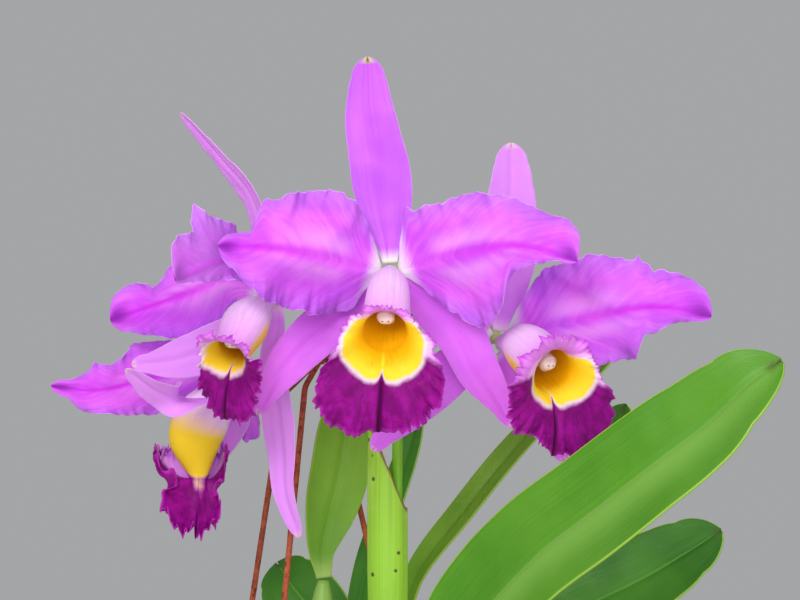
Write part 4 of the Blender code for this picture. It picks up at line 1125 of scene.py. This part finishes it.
# A petal copy with painted shade over its lower half.
PAINTED_SHADE_PETAL = (tepal_paint("painted_shade_petal_face", True, low=0.36), PETAL[1])
SEPAL_PAINT = (tepal_paint("sepal_face", False), tepal_paint("sepal_back", False, True))
# Sepal copies with painted light laid over the whole piece, one lilac and one rosy.
PAINTED_LIGHT_SEPAL = (tepal_paint("painted_light_sepal_face", False, pale=0.5),
              tepal_paint("painted_light_sepal_back", False, True, 0.4))
ROSY_PAINTED_LIGHT_SEPAL = (tepal_paint("rosy_painted_light_sepal_face", False, pale=0.45, light="#F078FC"), PAINTED_LIGHT_SEPAL[1])
LIP = (lip_paint("lip_face"), lip_paint("lip_back", True))
# Plain leaves: partly their own dark green, partly darkened as painted shade for the leaves lying in shadow.
LEAF = (leaf_paint("leaf_face"), leaf_paint("leaf_back", True))
# The front leaf: its own greens with the painted highlight band.
BIG_LEAF = (leaf_paint("big_leaf_face", False, 1.0, "#4A8A1A", "#599622"), LEAF[1])
# Yellow-green leaves: partly their own lighter green, partly brightened as painted light on both sides; the
# back skips the paler back layer.
YOUNG_LEAF_PAINTED_LIGHT = (leaf_paint("young_leaf_painted_light_face", False, 0.0, "#669A1C", "#7CAE28"),
              leaf_paint("young_leaf_painted_light_back", False, 0.0, "#74A826", "#88BA30"))
SHEATH = (spathe_paint("spathe_outside"), spathe_paint("spathe_inside", True))
PAPER = paper_paint("papery_sheath")
OVARY = stalk_paint("ovary_green", "#7FA83A", "#C3D48C", "#5E8A2C")
COLUMN = stalk_paint("column_flesh", "#F3E2EA", "#F4D4E2", "#E2A6CC", 0.36)
RACHIS = stalk_paint("peduncle_green", "#74B41A", "#7EBE20", "#5A9620")
BULB = stalk_paint("bulb_green", "#6E9440", "#86B04A", "#4E7430", 0.45)
CAP = cap_paint("anther_cap")
SCALE = scale_paint("rhizome_scales")
ROOT = root_paint("root_skin")
BARK = bark_paint("fir_bark")
CLAY = clay_paint("fired_clay")
RUST = rust_paint("rusty_wire")

# Local bumps of a blade's outline: side (1 right, -1 left), share of the length, size and span
NOTCHES = {
    "front_left_petal": ((1, 0.735, 3.0, 0.025), (1, 0.81, -2.4, 0.025), (-1, 0.11, 4.5, 0.055),
                         (-1, 0.29, -4.2, 0.075), (-1, 0.42, -1.6, 0.05)),
    "front_right_petal": ((-1, 0.13, 4.2, 0.03), (-1, 0.2, -1.0, 0.03), (1, 0.6, 2.2, 0.02),
                          (1, 0.66, -2.0, 0.02), (1, 0.27, 2.0, 0.05), (1, 0.52, -4.4, 0.11)),
    "right_right_petal": ((-1, 0.655, 2.6, 0.008), (-1, 0.72, -2.4, 0.018), (1, 0.68, -1.6, 0.02)),
    "upper_left_left_petal": ((1, 0.72, -1.2, 0.02), (-1, 0.6, 1.2, 0.02)),
    "upper_left_right_petal": ((-1, 0.66, 3.0, 0.02), (-1, 0.74, -1.4, 0.02)),
    "lower_left_right_petal": ((1, 0.78, 1.6, 0.02),),
}

# Hollows and ridges of a petal: across (-1 to 1), share of the length, height, spans and skew
DENTS = {
    "front_left_petal": ((-0.5, 0.34, -3.6, 0.42, 0.2, 0.0), (0.86, 0.66, 2.6, 0.3, 0.03, 0.05),
                         (-0.8, 0.72, 2.2, 0.3, 0.05, 0.0), (0.6, 0.42, 1.4, 0.4, 0.06, 0.2)),
    "front_right_petal": ((0.55, 0.3, -2.4, 0.35, 0.16, 0.0), (0.9, 0.62, 3.2, 0.3, 0.035, 0.0),
                          (-0.8, 0.5, 1.6, 0.3, 0.035, -0.1), (-0.85, 0.6, -1.6, 0.3, 0.04, -0.1)),
    "right_right_petal": ((-0.7, 0.56, 2.4, 0.5, 0.05, -0.28), (-0.6, 0.36, -2.0, 0.4, 0.12, 0.0),
                          (-0.8, 0.76, -1.6, 0.3, 0.03, 0.0), (0.8, 0.6, 2.0, 0.3, 0.05, 0.0)),
    "upper_left_left_petal": ((-0.55, 0.5, -2.6, 0.4, 0.2, 0.0), (0.7, 0.8, -2.2, 0.4, 0.08, 0.0)),
    "lower_left_right_petal": ((-0.7, 0.5, -1.6, 0.4, 0.14, 0.0), (0.7, 0.7, 1.6, 0.4, 0.06, 0.0)),
}



def petal_half(rows):
    """Half thickness over a blade: 0.45 at the midrib, thin at the edge and tip."""
    n = len(rows) - 1
    m = len(rows[0]) - 1

    def half(i, j):
        off = abs(2 * j / m - 1)
        return 0.12 + 0.33 * (1 - off**2) * (1 - 0.5 * i / n)

    return half


def anther(name, points):
    """The rounded cap at the end of a column."""
    end = at_length(points, 0.985)
    along = (at_length(points, 1.0) - at_length(points, 0.9)).normalized()
    up = (Vector((0, 0, 1)) - along * along.z).normalized()
    side = along.cross(up)
    verts = []
    faces = []
    uvs = []
    rings, sides = CAP_MESH
    for i in range(rings + 1):
        tilt = math.pi * i / rings
        for j in range(sides):
            turn = TAU * j / sides
            a = -math.cos(tilt)
            b = math.sin(tilt) * math.cos(turn)
            c = math.sin(tilt) * math.sin(turn)
            swell = 1 + 0.10 * math.cos(2 * turn + math.pi) * math.sin(tilt)
            swell -= 0.14 * bell(c, 0.16) * rise(a, 0.0, 0.8)
            beak = 0.35 * bell(c, 0.35) * bell(b + 0.75, 0.35)
            pit = 0.25 * bell(abs(c) - 0.36, 0.13) * bell(b - 0.12, 0.16) * rise(a, 0.2, 0.7)
            ahead = a * 2.4 * swell + beak - pit
            verts.append(end + along * ahead + up * (b * 2.9 * swell) + side * (c * 3.1 * swell))
    for i in range(rings):
        for j in range(sides):
            k = (j + 1) % sides
            faces.append((i * sides + j, i * sides + k, (i + 1) * sides + k, (i + 1) * sides + j))
            spots = ((i, j), (i, j + 1), (i + 1, j + 1), (i + 1, j))
            corner = []
            for a, b in spots:
                tilt = math.pi * a / rings
                turn = TAU * b / sides
                high = math.sin(tilt) * math.cos(turn)
                wide = math.sin(tilt) * math.sin(turn)
                front = 0.0 if a < rings * 0.5 else 1.0
                corner.append((0.5 + 0.45 * wide * front, 0.5 + 0.48 * high if front else 1.0))
            uvs.append(corner)
    obj = make_mesh(name, verts, faces, uvs, None, [CAP], "column")
    obj.data.validate()
    return obj


def make_flower(place, flower, seed):
    """Five sepals and petals, the lip, the column with its cap, and the ovary on its stalk."""
    middle = Vector(flower["middle"])

    def moved(rows):
        return [[p + middle for p in row] for row in rows]

    for number, (kind, blade) in enumerate(flower["blades"].items()):
        name = place + "_" + kind
        petal = "petal" in kind
        steps, across = PETAL_MESH if petal else SEPAL_MESH
        marks = NOTCHES.get(name, ()), DENTS.get(name, ())
        rows = moved(tepal_rows(blade, steps, across, seed + number * 1.7, *marks))
        paints = PETAL if petal else SEPAL_PAINT
        # The left petals of the front and upper-left flowers take the copy with painted shade.
        if name in ("front_left_petal", "upper_left_left_petal"):
            paints = PAINTED_SHADE_PETAL
        # Sepals of the upper-left and lower-left flowers and the right flower's dorsal sepal take the copy
        # with painted light; the other lateral sepals take the rosy one.
        elif not petal and (place in ("upper_left", "lower_left") or name == "right_dorsal_sepal"):
            paints = PAINTED_LIGHT_SEPAL
        elif kind in ("left_sepal", "right_sepal"):
            paints = ROSY_PAINTED_LIGHT_SEPAL
        part(shell("skin_" + name, rows, petal_half(rows), paints, "petal" if petal else "sepal"), name)
    steps, around = FRONT_LIP_MESH if place == "front" else LIP_MESH
    rows, zones = lip_rows(flower["lip"], steps, around, seed)

    def half(i, j):
        return (0.36 - 0.22 * (i / steps) ** 2) * (1 - 0.7 * rise(abs(2 * j / around - 1), 0.84, 0.99))

    skin = shell("skin_" + place + "_lip", moved(rows), half, LIP, "lip", zones=zones)
    part(skin, place + "_lip")
    points = [middle + Vector(p) for p in flower["column"]]
    girths = (1.8, 2.0, 2.6, 3.4, 3.4)

    def column_girth(share, angle):
        return between(girths, share) * (1 + 0.07 * math.cos(2 * angle + math.pi) * share)

    column = tube("skin_" + place + "_column", points, column_girth, *COLUMN_MESH, COLUMN, "column")
    part(column, place + "_column")
    anther("anther_cap_" + place, points)
    points = [middle + Vector(p) for p in flower["ovary"]]
    girths_low = (1.7, 1.7, 1.9, 2.4, 2.6, 3.0)

    def ovary_girth(share, angle):
        return between(girths_low, share) * (1 + 0.07 * share * math.cos(6 * angle + 3 * share))

    ovary = tube("skin_" + place + "_ovary", points, ovary_girth, *OVARY_MESH, OVARY, "stalk")
    part(ovary, place + "_ovary")


def make_bulb(name, foot, waist, tip, girth, seed):
    """A ridged, ringed bulb in a torn papery sheath."""
    shares = (0.34, 0.66, 0.92, 1.0, 0.92, 0.76, 0.58, 0.42)

    def radius(share, angle):
        r = girth * between(shares, share)
        hump = math.sin(math.pi * min(1.0, max(0.0, share))) ** 0.5
        r *= 1 + 0.035 * hump * math.cos(9 * angle + 2 * share) + 0.012 * ripple(angle, seed, 3.0, 2) * hump
        for ring in (0.2, 0.43, 0.7):
            r += 0.35 * bell(share - ring, 0.008) - 0.2 * bell(share - ring - 0.02, 0.012)
        r -= 0.45 * r * max(0.0, (share - 0.93) / 0.07) ** 2
        return r

    part(tube("skin_bulb_" + name, (foot, waist, tip), radius, *BULB_MESH, BULB, "bulb"), "bulb_" + name)
    top = 0.70 if name in ("front", "mid_left", "back_right") else 0.55
    knots = [Vector(p) for p in (foot, waist, tip)]
    rows = []
    steps, around = PAPER_MESH
    for i in range(steps + 1):
        row = []
        for j in range(around + 1):
            angle = TAU * j / around
            tear = 0.25 * bell(math.sin(angle / 2 + seed), 0.12)
            torn = top * (1 - 0.16 * abs(ripple(angle, seed + 3, 2.0, 4)) - tear)
            share = 0.015 + (torn - 0.015) * i / steps
            place = at_length(knots, share)
            along = (at_length(knots, share + 0.01) - at_length(knots, share - 0.01)).normalized()
            out = Vector((0.3, -1, 0.2))
            out = (out - along * out.dot(along)).normalized()
            side = along.cross(out)
            r = girth * between(shares, share) + 0.75 + 0.35 * (i / steps) ** 3
            r += 0.2 * ripple(angle, seed, 5.0, 3) + 0.5 * (i / steps) ** 6 * ripple(angle, seed + 1, 9.0, 2)
            row.append(place + out * (math.cos(angle) * r) + side * (math.sin(angle) * r))
        rows.append(row)
    shell("paper_" + name, rows, lambda i, j: 0.14, (PAPER, PAPER), "bulb", closed=True)


def make_stem(name, line):
    """A length of creeping stem in overlapping scales."""
    def radius(share, angle):
        saw = (share * 9) % 1.0
        r = RHIZOME_RADIUS * (0.86 + 0.13 * saw) * (1 + 0.02 * ripple(angle, 1.0, 3.0, 3))
        if share < 0.05 or share > 0.95:
            r *= 0.8
        return r

    part(tube("skin_" + name, line, radius, *RHIZOME_MESH, SCALE, "rhizome"), name)


def make_root(name, line):
    """A knobbly root, pointed at its growing end."""
    def radius(share, angle):
        r = ROOT_RADIUS * (1 + 0.06 * ripple(share, 2.0, 40.0, 3) + 0.05 * ripple(angle, 1.0, 2.0, 2))
        return r * (1 - 0.75 * rise(share, 0.96, 1.0))

    part(tube("skin_" + name, line, radius, *ROOT_MESH, ROOT, "root"), name)


def face_out(mesh):
    """Turns every face of a closed mesh outward."""
    work = bmesh.new()
    work.from_mesh(mesh)
    bmesh.ops.recalc_face_normals(work, faces=work.faces)
    work.to_mesh(mesh)
    work.free()


def lathe(name, profile, sides, wobble, mat, slot):
    """A turned body from a profile of (radius, height) that starts and ends on the axis."""
    verts = [Vector((0, 0, profile[0][1]))]
    rows = []
    for r, z in profile[1:-1]:
        row = []
        for j in range(sides):
            angle = TAU * j / sides
            grown = r + wobble(angle, z, r)
            row.append(len(verts))
            verts.append(Vector((math.cos(angle) * grown, math.sin(angle) * grown, z)))
        rows.append(row)
    verts.append(Vector((0, 0, profile[-1][1])))
    faces = []
    uvs = []
    for a, (low, high) in enumerate(zip(rows, rows[1:])):
        for j in range(sides):
            k = (j + 1) % sides
            faces.append((low[j], high[j], high[k], low[k]))
            u, w = j / sides, (j + 1) / sides
            s, t = a / len(rows), (a + 1) / len(rows)
            uvs.append(((u, s), (u, t), (w, t), (w, s)))
    for row, centre, flip in ((rows[0], 0, False), (rows[-1], len(verts) - 1, True)):
        for j in range(sides):
            k = (j + 1) % sides
            face = (centre, row[j], row[k])
            uv = ((0.5, 0.0), (j / sides, 0.0), ((j + 1) / sides, 0.0))
            faces.append(face[::-1] if flip else face)
            uvs.append(uv[::-1] if flip else uv)
    return make_mesh(name, verts, faces, uvs, None, [mat], slot)


def dense(profile, gap):
    """The profile with more points, none further apart than gap."""
    out = [profile[0]]
    for (r0, z0), (r1, z1) in zip(profile, profile[1:]):
        count = max(1, int(math.hypot(r1 - r0, z1 - z0) / gap))
        for i in range(1, count + 1):
            out.append((r0 + (r1 - r0) * i / count, z0 + (z1 - z0) * i / count))
    return out


def corner(a, b, c, size, count):
    """Points of a bend that rounds the corner at b between a and c."""
    start = b + (a - b).normalized() * size
    end = b + (c - b).normalized() * size
    shares = [i / count for i in range(count + 1)]
    return [start * (1 - x) ** 2 + b * 2 * x * (1 - x) + end * x**2 for x in shares]


def round_corner(profile, k, size):
    """The profile with its corner k rounded."""
    a, b, c = (Vector(profile[i]) for i in (k - 1, k, k + 1))
    return profile[:k] + [tuple(p) for p in corner(a, b, c, size, 5)] + profile[k + 1:]


def make_pot():
    """The turned clay pot with its drain holes. Returns its inner radius at the floor and at the top."""
    body_top = POT_TOP_RADIUS - RIM_STEP
    slope = (body_top - POT_BASE_RADIUS) / (POT_HEIGHT - RIM_BAND)
    inner_low = POT_BASE_RADIUS + slope * POT_FLOOR - POT_WALL
    inner_top = POT_TOP_RADIUS - POT_WALL
    profile = [
        (0.0, 0.0),
        (POT_BASE_RADIUS, 0.0),
        (body_top - 1.0, POT_HEIGHT - RIM_BAND),
        (POT_TOP_RADIUS - 1.0, POT_HEIGHT - RIM_BAND),
        (POT_TOP_RADIUS, POT_HEIGHT),
        (inner_top, POT_HEIGHT),
        (inner_low, POT_FLOOR),
        (0.0, POT_FLOOR),
    ]
    for k, size in ((6, 2.5), (5, 2.2), (4, 2.4), (3, 1.4), (2, 0.8), (1, 1.6)):
        profile = round_corner(profile, k, size)
    profile = dense(profile, POT_STEP)

    def wobble(angle, z, r):
        if r < 30:
            return 0.0
        ring = 0.10 * math.sin(z * 2.1) + 0.07 * math.sin(z * 4.7 + 1.0)
        return ring + 0.22 * ripple(angle, 4.0, 1.0, 3) * rise(z, 2.0, 20.0) - 0.05

    pot = lathe("clay_pot", profile, POT_SIDES, wobble, CLAY, "clay")
    face_out(pot.data)
    cutters = []
    for i in range(DRAIN_HOLES):
        angle = TAU * i / DRAIN_HOLES + 0.5
        hole = lathe("cutter_" + str(i), DRAIN_CUTTER, 48, lambda a, z, r: 0.0, CLAY, None)
        hole.location = (DRAIN_RING * math.cos(angle) * MM, DRAIN_RING * math.sin(angle) * MM, 0)
        face_out(hole.data)
        cut = pot.modifiers.new("Drain", "BOOLEAN")
        cut.operation = "DIFFERENCE"
        cut.solver = "EXACT"
        cut.object = hole
        cutters.append(hole)
    seen = bpy.context.evaluated_depsgraph_get()
    seen.update()
    done = bpy.data.meshes.new_from_object(pot.evaluated_get(seen))
    pot.modifiers.clear()
    pot.data = done
    for hole in cutters:
        bpy.data.objects.remove(hole, do_unlink=True)
    part(pot, "pot")
    return inner_low, inner_top


def near_line(x, y, lines):
    """Smallest distance on the level from a point to any of the lines."""
    best = 1e9
    for line in lines:
        for k in range(41):
            p = at_length(line, k / 40)
            best = min(best, math.hypot(p.x - x, p.y - y))
    return best


def make_bark(inner_low, inner_top):
    """A plug of packed bark under a bed of loose chips."""
    foot = POT_FLOOR + BARK_GAP
    rise_ = (inner_top - inner_low) / (POT_HEIGHT - 1.5 - POT_FLOOR)
    low = inner_low + rise_ * BARK_GAP - BARK_GAP
    high = inner_low + rise_ * (BARK_TOP - 6.0 - POT_FLOOR) - BARK_GAP
    top = BARK_TOP - 6.0
    profile = dense([(0.0, foot), (low, foot), (high - 0.4, top), (0.0, top)], PLUG_STEP)

    def uneven(angle, z, r):
        return -0.25 - 0.25 * ripple(angle * 3, z, 2.0, 2)

    base = lathe("bark_plug", profile, PLUG_SIDES, uneven, BARK, None)
    face_out(base.data)
    verts = [v.co / MM for v in base.data.vertices]
    faces = []
    uvs = []
    for poly in base.data.polygons:
        faces.append(tuple(poly.vertices))
        uvs.append([tuple(base.data.uv_layers["Across"].uv[k].vector) for k in poly.loop_indices])
    bpy.data.objects.remove(base, do_unlink=True)
    keep = [[Vector(p) for p in line] for line in list(RHIZOMES.values()) + list(ROOTS.values())]
    feet = [Vector(b[0]) for b in BULBS.values()]
    spots = []
    for layer, (height, count) in enumerate(CHIP_LAYERS):
        for _ in range(count):
            r = BED_RADIUS * math.sqrt(random.random())
            turn = random.random() * TAU
            spots.append((r * math.cos(turn), r * math.sin(turn), BARK_TOP + height, layer))
    for number, (x, y, top, layer) in enumerate(spots):
        length = random.uniform(4.5, 9.0)
        broad = random.uniform(3.2, 6.2)
        thick = random.uniform(1.6, 3.2)
        spin = random.random() * TAU
        lean = random.uniform(-0.28, 0.28)
        roll = random.uniform(-0.3, 0.3)
        shape = [random.uniform(0.72, 1.1) for _ in range(CHIP_SIDES)]
        clear = near_line(x, y, keep)
        for p in feet:
            clear = min(clear, math.hypot(p.x - x, p.y - y))
        if layer == 2 and clear < length + 5.5:
            continue
        if layer == 1 and clear < length * 0.5 + 3.0:
            top = BARK_TOP - 3.6
        reach = math.hypot(x, y) + length
        if reach > high - 1.2:
            pull = (high - 1.2 - length) / max(1.0, math.hypot(x, y))
            x, y = x * pull, y * pull
        z = top - thick - abs(math.sin(lean)) * length * 0.6
        first = len(verts)
        ca, sa = math.cos(spin), math.sin(spin)
        for a, wide, tall in CHIP_RINGS:
            for k in range(CHIP_SIDES):
                around = TAU * k / CHIP_SIDES
                c, s = math.cos(around), math.sin(around)
                c = math.copysign(abs(c) ** 0.55, c)
                s = math.copysign(abs(s) ** 0.55, s)
                grow = shape[k] * (1 + 0.10 * math.sin(3 * a + 2.2 * k + number))
                lx = a * length * (0.92 + 0.1 * shape[(k + 5) % CHIP_SIDES])
                ly = c * broad * wide * grow
                lz = s * thick * tall * (0.8 + 0.25 * shape[(k + 3) % CHIP_SIDES])
                lz += lx * math.sin(lean) + ly * math.sin(roll)
                verts.append(Vector((x + lx * ca - ly * sa, y + lx * sa + ly * ca, z + lz)))
        loops = [[first + a * CHIP_SIDES + k for k in range(CHIP_SIDES)] for a in range(5)]
        for a in range(4):
            for k in range(CHIP_SIDES):
                q = (k + 1) % CHIP_SIDES
                faces.append((loops[a][k], loops[a][q], loops[a + 1][q], loops[a + 1][k]))
                u, w = number + 0.02 + k * 0.06, number + 0.02 + (k + 1) * 0.06
                uvs.append(((u, a / 4), (w, a / 4), (w, (a + 1) / 4), (u, (a + 1) / 4)))
        for ring in (loops[0][::-1], loops[4]):
            faces.append(ring)
            uvs.append([(number + 0.3, 0.5)] * CHIP_SIDES)
    bark = make_mesh("bark_chips", verts, faces, uvs, None, [BARK], "bark")
    face_out(bark.data)
    bark.data.polygons.foreach_set("use_smooth", [False] * len(bark.data.polygons))
    part(bark, "bark")


def softened(knots, size):
    """The path with each inner corner rounded."""
    out = [knots[0]]
    for a, b, c in zip(knots, knots[1:], knots[2:]):
        out += corner(a, b, c, min(size, (a - b).length * 0.45, (c - b).length * 0.45), 6)
    return out + [knots[-1]]


def make_wire(name, points, radius, seed):
    """A pitted rusty wire along the points."""
    length = [0.0]
    for a, b in zip(points, points[1:]):
        length.append(length[-1] + (b - a).length)
    steps = int(length[-1] / WIRE_STEP)
    path = []
    k = 0
    for i in range(steps + 1):
        want = length[-1] * i / steps
        while k < len(points) - 2 and length[k + 1] < want:
            k += 1
        span = max(1e-6, length[k + 1] - length[k])
        path.append(points[k].lerp(points[k + 1], min(1.0, (want - length[k]) / span)))

    def girth(share, angle):
        rough = 0.025 * ripple(share * length[-1], seed, 0.35, 3)
        rough += 0.02 * ripple(angle, seed + share * 60, 2.0, 2)
        end = min(share, 1 - share) * length[-1]
        return radius * (1 + rough) * (0.72 + 0.28 * rise(end, 0.0, 1.0))

    part(tube("skin_" + name, path, girth, steps, WIRE_SIDES, RUST, "wire", smooth=False), name)


def make_hanger():
    """Three wires that grip the pot's rim and twist together round the foot of a hook."""
    reach = POT_TOP_RADIUS + WIRE_RADIUS + WIRE_GAP
    under = POT_HEIGHT - RIM_BAND - WIRE_RADIUS - WIRE_GAP
    apart = HOOK_RADIUS + WIRE_RADIUS + WIRE_GAP
    for number, (name, degrees) in enumerate(WIRES.items()):
        angle = math.radians(degrees)
        ray = Vector((math.cos(angle), math.sin(angle), 0.0))

        def at(radius, height):
            return ray * radius + Vector((0.0, 0.0, height))

        path = [
            at(reach - 4.2, under - 0.2),
            at(reach - 1.6, under - 0.6),
            at(reach - 0.2, under + 1.2),
            at(reach, under + 5.0),
            at(reach, POT_HEIGHT - 2.0),
            at(reach - 0.2, POT_HEIGHT + 3.0),
            Vector(WIRE_BENDS[name]),
        ]
        path = softened(path + [Vector((APEX[0], APEX[1], TWIST_TOP - 6.0)) + ray * apart], 2.2)
        for i in range(25):
            turn = angle + TAU * TWIST_TURNS * i / 24
            spot = Vector((math.cos(turn) * apart, math.sin(turn) * apart, 0))
            path.append(Vector((APEX[0], APEX[1], TWIST_TOP - 6.0 + TWIST_HEIGHT * i / 24)) + spot)
        make_wire(name, path, WIRE_RADIUS, 1.0 + number)
    centre = Vector((APEX[0], APEX[1], 0.0))
    path = [centre + Vector((0.0, 0.0, HOOK_FOOT + 3.4 * i)) for i in range(9)]
    for i in range(49):
        turn = math.pi - math.radians(HOOK_SWEEP) * i / 48
        across = HOOK_LOOP + HOOK_LOOP * math.cos(turn)
        path.append(centre + Vector((across, 0.0, HOOK_HEIGHT + HOOK_LOOP * math.sin(turn))))
    make_wire("hanger_hook", path, HOOK_RADIUS, 7.0)


for number, (where, flower) in enumerate(FLOWERS.items()):
    make_flower(where, flower, 3.0 + 5.1 * number)


def peduncle_girth(share, angle):
    """The stalk's radius, five-sided, with two thicker nodes."""
    grow = 1 + 0.03 * math.cos(5 * angle)
    grow += 0.05 * bell(share - 0.62, 0.012)
    grow += 0.05 * bell(share - 0.86, 0.012)
    return between((2.2, 2.2, 2.1, 2.1, 1.9), share) * grow


def spathe_half(i, j):
    """Half thickness of the sheath, thinner toward its cut edge."""
    return 0.34 - 0.12 * i / SPATHE_MESH[0]


part(tube("skin_peduncle", PEDUNCLE, peduncle_girth, *PEDUNCLE_MESH, RACHIS, "stalk"), "peduncle")
part(shell("skin_spathe", spathe_rows(*SPATHE_MESH), spathe_half, SHEATH, "spathe", closed=True), "spathe")

for number, (where, (foot, waist, tip, girth)) in enumerate(BULBS.items()):
    make_bulb(where, foot, waist, tip, girth, 2.0 + 1.9 * number)


def leaf_half(i, j):
    """Half thickness of a leaf, thick along its midrib."""
    steps, across = LEAF_MESH
    off = abs(2 * j / across - 1)
    return 0.45 + 0.65 * (1 - off) ** 0.7 * (1 - 0.45 * i / steps)


for number, (where, leaf) in enumerate(LEAVES.items()):
    notch = 2.2 if where in ("front", "low_left") else 0.8
    rows = leaf_rows(leaf, *LEAF_MESH, 1.0 + 2.3 * number, notch)
    paints = {"front": BIG_LEAF, "mid_left": YOUNG_LEAF_PAINTED_LIGHT, "back_right": YOUNG_LEAF_PAINTED_LIGHT}.get(where, LEAF)
    part(shell("skin_leaf_" + where, rows, leaf_half, paints, "leaf"), "leaf_" + where)

for where, line in RHIZOMES.items():
    make_stem(where, line)
for where, line in ROOTS.items():
    make_root(where, line)
make_bark(*make_pot())
make_hanger()

for obj, slot in PIECES:
    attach(obj, "root")

# Plain pale floor
floor_mesh = bpy.data.meshes.new("floor")
floor_mesh.from_pydata([(-1.5, -1.5, 0), (1.5, -1.5, 0), (1.5, 1.5, 0), (-1.5, 1.5, 0)], [], [(0, 1, 2, 3)])
floor = bpy.data.objects.new("floor", floor_mesh)
floor.location = (0, 0, -0.0002)
bpy.context.scene.collection.objects.link(floor)
ground = Paint("floor_paint", 0.9, 0.1)
ground.colour = ground.mix(ground.noise(ground.place(), 3.0), "#DAD9D6", "#DFDEDC")
floor_mesh.materials.append(ground.finish())

# Soft studio light
world = bpy.data.worlds.new("studio")
bpy.context.scene.world = world
world.use_nodes = True
world.node_tree.nodes["Background"].inputs["Color"].default_value = (0.62, 0.63, 0.64, 1.0)
world.node_tree.nodes["Background"].inputs["Strength"].default_value = 0.6


def lamp(name, place, aim, size, power):
    """A square lamp at a place, turned to its aim."""
    light = bpy.data.lights.new(name, "AREA")
    light.shape = "SQUARE"
    light.size = size
    light.energy = power
    obj = bpy.data.objects.new(name, light)
    obj.location = place
    obj.rotation_euler = (Vector(aim) - Vector(place)).to_track_quat("-Z", "Y").to_euler()
    bpy.context.scene.collection.objects.link(obj)


lamp("key", (-0.45, -1.2, 1.1), (0.02, -0.04, 0.38), 0.7, 12.0)
lamp("front", (0.25, -1.7, 0.45), (0.04, -0.04, 0.38), 1.2, 9.0)
lamp("fill", (1.0, -0.8, 0.8), (0.04, -0.04, 0.36), 0.9, 3.0)
lamp("back", (0.25, 1.0, 1.1), (0.0, 0.0, 0.4), 0.8, 6.0)

camera_data = bpy.data.cameras.new("camera")
camera_data.lens = 135.0
camera_data.sensor_width = 36.0
camera = bpy.data.objects.new("camera", camera_data)
camera.location = (0.040, -1.260, 0.400)
camera.rotation_euler = (math.pi / 2, 0.0, 0.0)
bpy.context.scene.collection.objects.link(camera)
bpy.context.scene.camera = camera
bpy.context.scene.view_settings.view_transform = "Standard"
